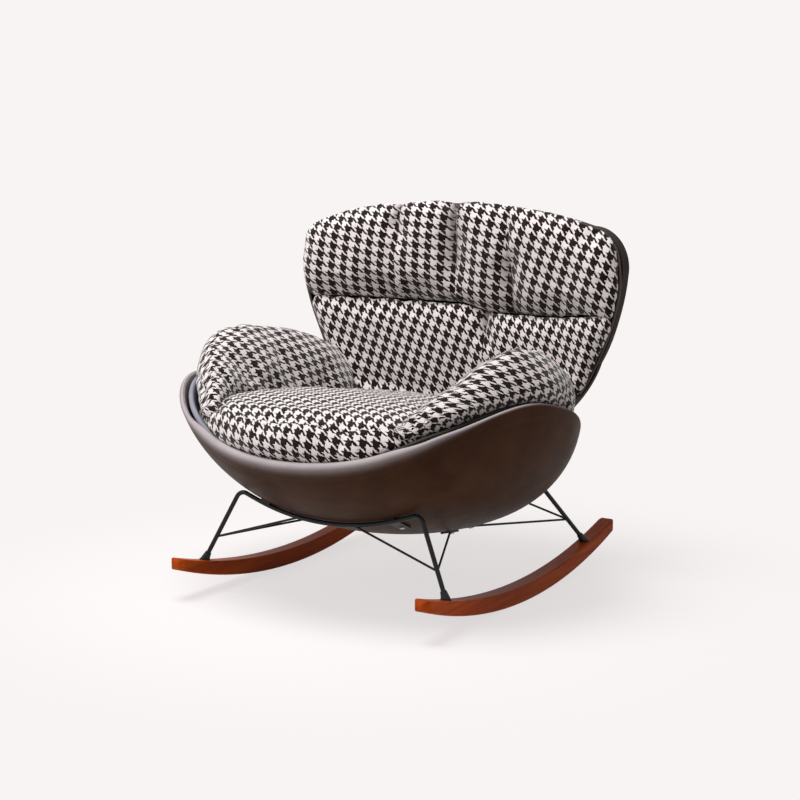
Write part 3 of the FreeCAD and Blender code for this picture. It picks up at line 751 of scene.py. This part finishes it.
def settle(piece, *others, gap=0.001):
    """Lays a cushion against its neighbours: points that are inside one come out to its surface."""
    co = coords_of(piece).copy()
    graph = bpy.context.evaluated_depsgraph_get()
    for other in others:
        tree = BVHTree.FromObject(other, graph)
        for k, point in enumerate(co):
            place, normal, *_ = tree.find_nearest(Vector(point), 0.09)
            if place is not None and (Vector(point) - place).dot(normal) < gap:
                co[k] = place + normal * gap
    set_coords(piece, co)


def clad(piece, look, slot, *replaced):
    piece.data.materials.clear()
    piece.data.materials.append(look)
    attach(piece, "root")
    if replaced:
        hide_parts(*replaced)


def finish_cushion(piece, replaced):
    smooth_faces(piece)
    fine = piece.modifiers.new("fine", "SUBSURF")
    fine.levels = 1
    fine.render_levels = 1
    clad(piece, check_fabric, "check_fabric", replaced)


# The leather bowl

# The painted sheen reaches further down the lip at the front.
sheen_reach = 0.004 + 0.013 * (1 - smooth_step(from_front(even_turns(AROUND)), 0.5, 1.1))
outer, centre, inward, rise, thick = rolled_shell(
    "outer_leather", 0.0, 0.0, lip_wall, 0.008, sheen_reach, groove=(0.030, 0.0014, 0.0016))
clad(outer, shell_leather, "shell_leather", "outer_shell")
band, *_ = rolled_shell("tub_band", SHELL_WALL + CLEARANCE, SLIT, band_wall, 0.010, 0.030, 1)
clad(band, tub_leather, "tub_leather", "seat_tub")


def rim_stitches():
    """A row of short stitches along the inner side of the bowl's rim."""
    line = centre + inward * (thick * 0.30)[:, None] + rise * (thick * 0.40)[:, None]
    line, length = closed_curve(line + [0, FRAME_SHIFT, 0], STITCH_STEPS)
    count = int(length / 0.0085)
    points = []
    faces = []
    normal, _ = closed_curve(inward * 0.5 + rise, STITCH_STEPS)
    for k in range(count):
        i = int(k / count * STITCH_STEPS)
        along = line[(i + 4) % STITCH_STEPS] - line[i - 4]
        along /= np.linalg.norm(along)
        up = normal[i] / np.linalg.norm(normal[i])
        side = np.cross(along, up)
        start = len(points)
        mid = line[i] + up * 0.0002
        points += [mid - along * 0.0030, mid + along * 0.0030, mid + side * 0.0009, mid - side * 0.0009,
                   mid + up * 0.0009, mid - up * 0.0009]
        for a, b in ((0, 2), (2, 1), (1, 3), (3, 0)):
            faces += [(start + a, start + b, start + 4), (start + b, start + a, start + 5)]
    piece = mesh_object("rim_stitches", points, faces)
    clad(piece, trim_leather, "shell_leather")


rim_stitches()
for node in nodes.values():
    if "cushion" not in node.name and node.name not in ("outer_shell", "seat_tub", "back_trim"):
        dress(node)

# The back: welt and cushions

edge_depth = column_spline(FRONT_EDGE, BACK_HEAD, BACK_HEAD)
rear_middle = column_spline(REAR_SURFACE, BACK_HEAD, BACK_HEAD, 1)
rear_side = column_spline(REAR_SURFACE, BACK_HEAD, BACK_HEAD, 2)
half_outline = [(x * BACK_HALF_WIDTH, BACK_FOOT + z * (BACK_HEAD - BACK_FOOT)) for x, z in BACK_OUTLINE]
back_loop, _ = closed_curve(half_outline + [(-x, z) for x, z in half_outline[-2:0:-1]], 720)
back_out = outward(back_loop)


def rear_depth(flat, inset):
    across = (flat[:, 0] / BOWL_HALF_WIDTH) ** 2
    middle = rear_middle(flat[:, 1])
    return middle + (rear_side(flat[:, 1]) - middle) * across - inset


def welt():
    """A thin piped edge along the front of the back's rim."""
    line = back_loop - back_out * (TRIM_RADIUS + CLEARANCE)
    keep = line[:, 1] > TRIM_LOW
    start = int(np.nonzero(keep & ~np.roll(keep, 1))[0][0])
    line = np.roll(line, -start, 0)[:int(keep.sum())]
    out = np.roll(back_out, -start, 0)[:len(line)]
    path = across_back(line, edge_depth(line[:, 1]) - TRIM_RADIUS)
    sideways = np.stack([out[:, 0], 0 * out[:, 0], out[:, 1]], 1)
    rows = []
    for angle in even_turns(10):
        rows.append(path + sideways * (TRIM_RADIUS * math.cos(angle)) + [0, TRIM_RADIUS * math.sin(angle), 0])
    points = np.stack(rows, 1).reshape(-1, 3)
    piece = mesh_object("back_welt", points, capped_faces(len(path), 10))
    clad(piece, trim_leather, "trim_leather", "back_trim")


welt()


def tuck_height(x):
    """The line between the two back cushions, which sags on the sitter's left."""
    return TUCK_HEIGHT - 0.017 * smooth_step(x, 0.01, 0.09) * (1 - 0.6 * smooth_step(x, 0.22, 0.38))


def rising(side):
    """Every ninth point of one side of the back's outline, from its foot upward."""
    return side[np.argsort(np.arctan2(side[:, 1] - 0.55, np.abs(side[:, 0])))][::9]


def back_pad_loop(upper, inset, gap):
    """Outline of a back cushion: part of the back's outline, closed along the tuck or the foot."""
    flat = back_loop - back_out * inset(back_loop, back_out)[:, None]
    line = tuck_height(flat[:, 0])
    corner = np.where(flat[:, 0] > 0, 0.006, 0.017)
    if upper:
        keep = flat[:, 1] > line + corner
    else:
        keep = (flat[:, 1] < line - corner) & (flat[:, 1] > 0.372)
    right = rising(flat[keep & (flat[:, 0] >= 0)])
    left = rising(flat[keep & (flat[:, 0] < 0)])[::-1]
    pieces = [right]
    if upper:
        pieces.append(left)
        xs = np.linspace(left[-1][0] + 0.016, right[0][0] - 0.006, 24)
        pieces.append(np.stack([xs, tuck_height(xs) + gap], 1))
    else:
        xs = np.linspace(right[-1][0] - 0.006, left[0][0] + 0.014, 24)
        pieces.append(np.stack([xs, tuck_height(xs) - gap], 1))
        pieces.append(left)
        low = abs(left[-1][0]) - 0.012
        xs = np.linspace(-low, low, 16)
        pieces.append(np.stack([xs, 0 * xs + 0.366], 1))
    return closed_curve(np.concatenate(pieces), 420)[0]


# Depth of the middle of each back cushion, by height
head_middle = spline_through((0.58, 0.64, 0.70, 0.76, 0.80, 0.87),
                             (0.252, 0.245, 0.236, 0.229, 0.228, 0.231))
lumbar_middle = spline_through((0.32, 0.40, 0.46, 0.52, 0.58, 0.63),
                               (0.258, 0.252, 0.245, 0.242, 0.245, 0.250))


def head_front(flat):
    side = edge_depth(flat[:, 1]) - 0.035
    middle = head_middle(flat[:, 1])
    fall = 0.013 * np.exp(-((flat[:, 1] - tuck_height(flat[:, 0])) / 0.026) ** 2)
    return middle + (side - middle) * np.clip(flat[:, 0] / PAD_HALF_WIDTH, -1, 1) ** 2 + fall


def lumbar_front(flat):
    side = np.maximum(edge_depth(flat[:, 1]) - 0.032, 0.206)
    middle = lumbar_middle(flat[:, 1])
    fall = 0.007 * np.exp(-((flat[:, 1] - tuck_height(flat[:, 0])) / 0.022) ** 2)
    front = middle + (side - middle) * np.clip(flat[:, 0] / PAD_HALF_WIDTH, -1, 1) ** 2 + fall
    return np.minimum(front, rear_depth(flat, BACK_WALL) - 0.022)


def head_level(flat):
    return np.maximum(edge_depth(flat[:, 1]) - EDGE_SINK, head_front(flat) + 0.010)


def lumbar_level(flat):
    over = smooth_step(flat[:, 1], 0.455, 0.505)
    inside = lumbar_front(flat) + 0.020
    free = np.maximum(edge_depth(flat[:, 1]) - EDGE_SINK, lumbar_front(flat) + 0.008)
    return inside + (free - inside) * over


def behind(level, more):
    return lambda flat: np.minimum(level(flat) + more, rear_depth(flat, BACK_WALL) - 0.002)


def head_inset(flat, out):
    side = 0.010 - 0.008 * smooth_step(flat[:, 0], -0.1, 0.1)
    return side - (side + 0.012) * np.clip(out[:, 1], 0, 1) ** 2


def lumbar_inset(flat, out):
    side = 0.010 - 0.010 * smooth_step(flat[:, 1], 0.40, 0.45) * smooth_step(flat[:, 0], -0.1, 0.1)
    return side + 0.03 * smooth_step(-flat[:, 1], -0.42, -0.36)


def back_cloth(co, loop, front, radius):
    """Where each point of a back cushion lies in its cloth, turned round the edge without stretch."""
    flat = co[:, [0, 2]]
    out = outward(loop)[nearest_on(loop, flat)]
    sunk = np.maximum(co[:, 1] - FRAME_SHIFT - front(flat), 0)
    extra = 0.57 * np.minimum(sunk, radius) + np.maximum(sunk - radius, 0)
    return flat + out * extra[:, None]


def sewn(x, seam_x, strength, depth, width):
    """Pushes the cloth in along an upright seam, with a wide soft dip beside it."""
    away = np.abs(x - seam_x)
    pull = 0.6 * np.exp(-(away / width) ** 2) + 0.4 * np.exp(-(away / (5 * width)) ** 2)
    return depth * strength * pull


def edge_radius(loop, full, small):
    """A small turn where a cushion meets the other one, and a full one along its other edges."""
    near = np.abs(loop[:, 1] - tuck_height(loop[:, 0])) < 0.012
    radius = np.where(near, small, full)
    for _ in range(30):
        radius = (np.roll(radius, 1) + radius + np.roll(radius, -1)) / 3
    return radius


# Rings behind each back cushion's widest line: how far in, and how far behind it
HEAD_REAR_RINGS = ((0.016, 0.030), (0.015, 0.012), (0.012, 0.001))
LUMBAR_REAR_RINGS = ((0.016, 0.020), (0.014, 0.008), (0.009, 0.001))
BACK_PAD_GAP = 0.0015


def back_pad(name, loop, turn, small_turn, rear_rings, level, front, centre_height):
    """A plain back cushion, its points, where they lie in its cloth and how much they face forward."""
    rings = [(inset, behind(level, more)) for inset, more in rear_rings]
    rings += rolled_rings(edge_radius(loop, turn, small_turn), level, front)
    pad = filled_form(name, loop, np.array([0.0, centre_height]), rings, front,
                      lambda flat: rear_depth(flat, BACK_WALL + BACK_PAD_GAP), across_back)
    co = remeshed(pad)
    facing = smooth_step(-(co[:, 1] - FRAME_SHIFT - level(co[:, [0, 2]])), -0.02, 0.01)
    return pad, co, back_cloth(co, loop, front, turn), facing


def sew_and_fill(pad, co, dent, facing, level, fall, ripple, deep, seam_depth, pressure, cap):
    """Draws the seams in, makes the cushion uneven and swells it between its seams and its edge."""
    x, z = co[:, 0], co[:, 2]
    co = co.copy()
    co[:, 1] += dent * facing
    co[:, 2] -= fall
    co[:, 1] -= facing * ripples(co, *ripple)
    set_coords(pad, co)
    # Painted shade for the seams and the tuck between the cushions, read by the fabric's material.
    tuck = np.exp(-((z - tuck_height(x)) / 0.005) ** 2)
    mark_points(pad, "crease", np.clip(dent / deep, 0, 1) * facing + 0.45 * tuck)
    held = (co[:, 1] - FRAME_SHIFT > level(co[:, [0, 2]]) - 0.001) | (dent > seam_depth)
    puff(pad, held, pressure, cap)


def make_head():
    loop = back_pad_loop(True, head_inset, -0.0028)
    pad, co, places, facing = back_pad("head_pad", loop, 0.027, 0.008, HEAD_REAR_RINGS,
                                       head_level, head_front, 0.72)
    x, z = co[:, 0], co[:, 2]
    lies = [turned(places[:, 0] / 1.05 + shift, places[:, 1], angle)
            for shift, angle in ((0.004, 7.5), (0.0, 4.5), (0.009, 9.5), (0.016, 18.0))]
    centres = face_centres(pad)
    lay_cloth(pad, lies, np.digitize(centres[:, 0], (-0.150, 0.002, 0.150)))
    dent = sewn(x, -0.150, smooth_step(z, 0.745, 0.82), 0.013, 0.006)
    dent += sewn(x, 0.002, smooth_step(z, 0.66, 0.73), 0.019, 0.0065)
    dent += sewn(x, 0.150, 1 - 0.75 * smooth_step(z, 0.69, 0.76), 0.014, 0.006)
    fall = dent * 0.7 * smooth_step(z, 0.81, 0.85)
    sew_and_fill(pad, co, dent, facing, head_level, fall, (0.085, 0.0045, 3.1), 0.016, 0.009, 4.0, 0.010)
    finish_cushion(pad, "head_cushion")
    return pad


def make_lumbar(neighbours):
    loop = back_pad_loop(False, lumbar_inset, -0.0034)
    pad, co, places, facing = back_pad("lumbar_pad", loop, 0.020, 0.007, LUMBAR_REAR_RINGS,
                                       lumbar_level, lumbar_front, 0.49)
    x, z = co[:, 0], co[:, 2]
    lies = [turned(places[:, 0] / 0.98, places[:, 1] / 0.97, 17.0),
            turned(places[:, 0] / 0.86 + 0.012, places[:, 1] / 0.9, 16.0)]
    lay_cloth(pad, lies, (face_centres(pad)[:, 0] > 0.080).astype(int))
    dent = sewn(x, 0.080, smooth_step(z, 0.52, 0.575), 0.015, 0.006)
    sew_and_fill(pad, co, dent, facing, lumbar_level, 0, (0.09, 0.0035, 7.7), 0.014, 0.008, 3.5, 0.008)
    set_coords(pad, inside_bowl(coords_of(pad)))
    settle(pad, *neighbours)
    finish_cushion(pad, "lumbar_cushion")
    return pad


# Seat

seat_top_line = column_spline(SEAT_TOP)


def seat_top(flat):
    side = np.abs(flat[:, 0]) / 0.31
    return seat_top_line(flat[:, 1]) - (0.020 + 0.012 * smooth_step(flat[:, 1], -0.30, -0.14)) * side ** 3


def make_seat():
    right = list(SEAT_OUTLINE)
    loop, length = closed_curve(right + [(-x, y) for x, y in right[-2:0:-1]], 480)
    radius, drop = 0.030, 0.048

    def level(flat):
        return seat_top(flat) - drop

    rings = [
        (0.165, level_at(0.165)), (0.120, level_at(0.190)), (0.080, level_at(0.230)),
        (0.045, level_at(0.275)), (0.020, level_at(0.320)), (0.004, lambda flat: level(flat) - 0.026),
    ]
    rings += rolled_rings(radius, level, seat_top, 8)
    pad = filled_form("seat_pad", loop, np.array([0.0, -0.10]), rings, seat_top,
                      level_at(0.163), across_seat)
    co = remeshed(pad)
    flat = co[:, :2] - [0, FRAME_SHIFT]
    near = nearest_on(loop, flat)
    out = outward(loop)[near]
    sunk = np.maximum(seat_top(flat) - co[:, 2], 0)
    steps = np.arange(len(loop)) * length / len(loop)
    steps = np.where(steps > length / 2, steps - length, steps)
    angle = np.arcsin(np.clip(1 - sunk / drop, 0, 1))
    up = (radius + drop) / 2 * angle - np.maximum(sunk - drop, 0)
    wall = turned(steps[near] / 0.93, up / 0.84, 4.0)
    top = turned(flat[:, 0] / 0.9, (flat[:, 1] + out[:, 1] * 0.4 * sunk) / 1.05, 2.0)
    edge_height = seat_top(flat) - drop * 0.14
    centres = face_centres(pad)
    middle = centres[:, :2] - [0, FRAME_SHIFT]
    turn_down = drop * (0.14 + 0.40 * smooth_step(middle[:, 1], -0.15, -0.10))
    lay_cloth(pad, [top, wall], (centres[:, 2] < seat_top(middle) - turn_down).astype(int))
    seam = np.exp(-((co[:, 2] - edge_height) / 0.004) ** 2)
    seam = seam * (sunk > 0.002) * smooth_step(-flat[:, 1], 0.10, 0.20)
    co = co.copy()
    co[:, :2] -= out * (0.0022 * seam)[:, None]
    upper = smooth_step(co[:, 2], 0.36, 0.40)
    co[:, 2] += upper * ripples(co, 0.11, 0.0055, 1.3)
    set_coords(pad, co)
    puff(pad, co[:, 2] < 0.345, 3.0, 0.010)
    set_coords(pad, inside_bowl(coords_of(pad)))
    finish_cushion(pad, "seat_cushion")
    return pad


# Arms

def arm_section(values, ridge_z, overhang):
    """Ten points round one section of an arm, from its ridge out and round underneath.

    overhang is how far its outer side hangs over its foot, or how far the foot is drawn in, if negative."""
    rx, ox, oz, ix, iz = values
    ridge = np.array([rx * BOWL_HALF_WIDTH + min(overhang, 0) * 0.5, ridge_z])
    outer_foot = np.array([ox * BOWL_HALF_WIDTH + min(overhang, 0), oz * BOWL_TOP])
    inner_foot = np.array([ix * BOWL_HALF_WIDTH, iz * BOWL_TOP])
    tall = max(ridge[1] - (outer_foot[1] + inner_foot[1]) / 2, 0.02)
    cap_out = ridge + (outer_foot - ridge) * 0.16 + np.array([0.05, 0.04]) * tall
    cap_in = ridge + (inner_foot - ridge) * 0.16 + np.array([-0.02, 0.06]) * tall
    swell_out = (cap_out + outer_foot) / 2 + np.array([0.07, 0.03]) * tall
    swell_in = (cap_in + inner_foot) / 2 + np.array([-0.08, 0.12]) * tall
    over = max(overhang, 0.002)
    hang = outer_foot + np.array([over, 0.010 + 0.3 * over])
    swell_out[0] += over * 0.5
    under_out = outer_foot + np.array([-0.16, -0.42]) * tall
    under_in = inner_foot + np.array([0.14, -0.38]) * tall
    return np.array([ridge, cap_out, swell_out, hang, outer_foot,
                     under_out, under_in, inner_foot, swell_in, cap_in])


def taken_over(co, points, values):
    """For each place, the values of the nearest points, weighted by nearness."""
    tree = KDTree(len(points))
    for k, point in enumerate(points):
        tree.insert(point, k)
    tree.balance()
    taken = np.empty((len(co), values.shape[1]))
    for k, place in enumerate(co):
        found = tree.find_n(place, 4)
        weight = np.array([1 / (gap + 1e-5) for _, _, gap in found])
        near = values[[index for _, index, _ in found]]
        same = np.abs(near - near[0]).max(1) < 0.05
        taken[k] = (near * (weight * same)[:, None]).sum(0) / (weight * same).sum()
    return taken


def make_arm(side, name, ridge_rows, lean, scale, overhang, neighbours):
    """One arm cushion. side is 1 for +X; the cloth runs level along the side that the photo shows."""
    around = 96
    columns = [column_spline(ARM_SHARES, BOWL_FRONT, column=k) for k in range(1, 6)]
    ridge_line = column_spline(ridge_rows)
    first, last = ARM_FRONT, ARM_SHARES[-1][0] * BOWL_FRONT
    turns = np.linspace(0.05, math.pi / 2, 10)
    stations = [(first + 0.012 - 0.012 * math.cos(a), first + 0.012, math.sin(a)) for a in turns[:-1]]
    stations += [(y, y, 1.0) for y in np.linspace(first + 0.012, last, 84)]
    stations += [(last + 0.018 * math.cos(a), last, math.sin(a)) for a in turns[::-1][1:]]
    rows, lies, before, run, edge_row = [], [], None, first, None
    for y, source, shrink in stations:
        ridge_z = float(ridge_line(source))
        over = overhang * float(smooth_step(source, first, first + 0.08))
        if overhang > 0:
            over -= overhang * float(smooth_step(source, 0.0, 0.08))
            over -= 0.024 * float(smooth_step(source, 0.06, 0.17))
        points = arm_section([float(column(source)) for column in columns], ridge_z, over)
        middle = points.mean(0)
        section, length = closed_curve(middle + (points - middle) * shrink, around)
        spot = np.array([float(columns[0](source)) * BOWL_HALF_WIDTH, y, ridge_z])
        run += 0 if before is None else float(np.linalg.norm(spot - before))
        before = spot
        path = np.arange(around) * length / around
        path = np.where(path > length / 2, path - length, path)
        if side < 0:
            path = -path
        rows.append(np.stack([side * section[:, 0], np.full(around, y + FRAME_SHIFT), section[:, 1]], 1))
        top_z = middle[1] + (ridge_z - middle[1]) * shrink
        lies.append(np.stack([np.full(around, run / scale), (top_z - path) / 0.97], 1))
        if shrink == 1.0 and edge_row is None:
            edge_row = len(rows) - 1
            seen = np.nonzero((path > 0) & (path < 0.35 * length))[0]
    order = seen[np.argsort(rows[edge_row][seen, 2])]
    for k in range(edge_row):
        side_x = np.interp(rows[k][:, 2], rows[edge_row][order, 2], rows[edge_row][order, 0])
        side_v = np.interp(rows[k][:, 2], rows[edge_row][order, 2], lies[edge_row][order, 1])
        lies[k] = np.stack([lies[edge_row][0, 0] - np.abs(rows[k][:, 0] - side_x) / scale, side_v], 1)
    lies = [turned(pair[:, 0], pair[:, 1], lean) for pair in lies]
    cloth_points, cloth_lies = np.concatenate(rows), np.concatenate(lies)
    arm = mesh_object("arm_pad_" + name, cloth_points, capped_faces(len(rows), around))
    face_outward(arm)
    co = remeshed(arm, 3)
    lay_cloth(arm, [taken_over(co, cloth_points, cloth_lies)])
    section_low = np.interp(co[:, 1] - FRAME_SHIFT, [row[0] * BOWL_FRONT for row in ARM_SHARES],
                            [(row[3] + row[5]) / 2 * BOWL_TOP for row in ARM_SHARES])
    free = smooth_step(co[:, 2] - section_low, -0.012, 0.020)
    co = co + rows_of(arm.data.vertices, "normal") * (ripples(co, 0.08, 0.0055, 5.0 + side) * free)[:, None]
    set_coords(arm, co)
    puff(arm, free < 0.1, 4.0, 0.012)
    set_coords(arm, inside_bowl(coords_of(arm)))
    settle(arm, *neighbours)
    finish_cushion(arm, "arm_cushion_" + name)


seat = make_seat()
head = make_head()
lumbar = make_lumbar((head, seat))
make_arm(1, "left", NEAR_RIDGE, -6.0, 0.86, 0.016, (seat, lumbar, nodes["back_shell"]))
make_arm(-1, "right", FAR_RIDGE, -6.0, 1.0, -0.020, (seat, lumbar, nodes["back_shell"]))


# Floor, light and camera

BACKDROP = (0.938, 0.904, 0.896)


def shining(tree, kind, colour, strength=1.0):
    node = tree.nodes.new(kind)
    node.inputs["Color"].default_value = (*colour, 1)
    node.inputs["Strength"].default_value = strength
    return node.outputs[0]


def stage_floor():
    """A pale floor that keeps the chair's shadow near it and fades into the backdrop further out."""
    half = 9.0
    corners = [(-half, -half, 0), (half, -half, 0), (half, half, 0), (-half, half, 0)]
    floor = mesh_object("floor", corners, [(0, 1, 2, 3)])
    made, tree, shader = material("floor_look")
    out = [node for node in tree.nodes if node.type == "OUTPUT_MATERIAL"][0]
    coords = object_coords(tree)
    tone = ramp(tree, noise(tree, coords, 2.0), ((0.3, (0.80, 0.775, 0.77)), (0.7, (0.81, 0.785, 0.78))))
    tree.links.new(tone, shader.inputs["Base Color"])
    surface(shader, 0.9, 0.1)
    glow = shining(tree, "ShaderNodeEmission", BACKDROP)
    distance = add(tree, "ShaderNodeVectorMath", operation="LENGTH")
    tree.links.new(coords, distance.inputs[0])
    away = add(tree, "ShaderNodeMapRange", interpolation_type="SMOOTHSTEP")
    tree.links.new(distance.outputs["Value"], away.inputs["Value"])
    for key, value in (("From Min", 0.35), ("From Max", 1.15), ("To Min", 0.72), ("To Max", 1.0)):
        away.inputs[key].default_value = value
    rays = tree.nodes.new("ShaderNodeLightPath")
    seen = math_node(tree, "MAXIMUM", rays.outputs["Is Camera Ray"], rays.outputs["Is Glossy Ray"])
    share = math_node(tree, "MULTIPLY", away.outputs["Result"], seen)
    blend_shaders(tree, share, shader.outputs[0], glow, out)
    floor.data.materials.append(made)


def sky():
    world = bpy.data.worlds.new("studio")
    bpy.context.scene.world = world
    world.use_nodes = True
    tree = world.node_tree
    tree.nodes.clear()
    out = tree.nodes.new("ShaderNodeOutputWorld")
    seen = shining(tree, "ShaderNodeBackground", BACKDROP)
    fill = shining(tree, "ShaderNodeBackground", (1.0, 0.985, 0.975), 0.38)
    rays = tree.nodes.new("ShaderNodeLightPath")
    glossy = math_node(tree, "MAXIMUM", rays.outputs["Is Glossy Ray"], rays.outputs["Is Transmission Ray"])
    any_seen = math_node(tree, "MAXIMUM", glossy, rays.outputs["Is Camera Ray"])
    blend_shaders(tree, any_seen, fill, seen, out)


LAMP_SIZE = 1.8
LAMP_TARGET = (0, 0, 0.4)


def lamp(name, place, power):
    data = bpy.data.lights.new(name, "AREA")
    data.shape = "DISK"
    data.size = LAMP_SIZE
    data.energy = power
    light = bpy.data.objects.new(name, data)
    light.location = place
    aim = Vector(LAMP_TARGET) - Vector(place)
    light.rotation_euler = aim.to_track_quat("-Z", "Y").to_euler()
    bpy.context.scene.collection.objects.link(light)


def camera():
    place = (2.140834, -3.404174 + FRAME_SHIFT, 1.076009)
    yaw = 0.560834
    pitch = 0.161705
    ca, sa, ce, se = math.cos(yaw), math.sin(yaw), math.cos(pitch), math.sin(pitch)
    turn_matrix = Matrix(((ca, -sa * se, sa * ce), (sa, ca * se, -ca * ce), (0, ce, se)))
    data = bpy.data.cameras.new("photo_view")
    data.sensor_width = 36.0
    data.lens = 81.0
    data.clip_end = 60.0
    view = bpy.data.objects.new("photo_view", data)
    view.matrix_world = Matrix.Translation(place) @ turn_matrix.to_4x4()
    bpy.context.scene.collection.objects.link(view)
    bpy.context.scene.camera = view


stage_floor()
sky()
lamp("top_light", (-0.4, -0.9, 3.0), 112)
lamp("side_light", (-2.4, -1.8, 2.0), 16)
camera()
bpy.context.scene.view_settings.view_transform = "Standard"
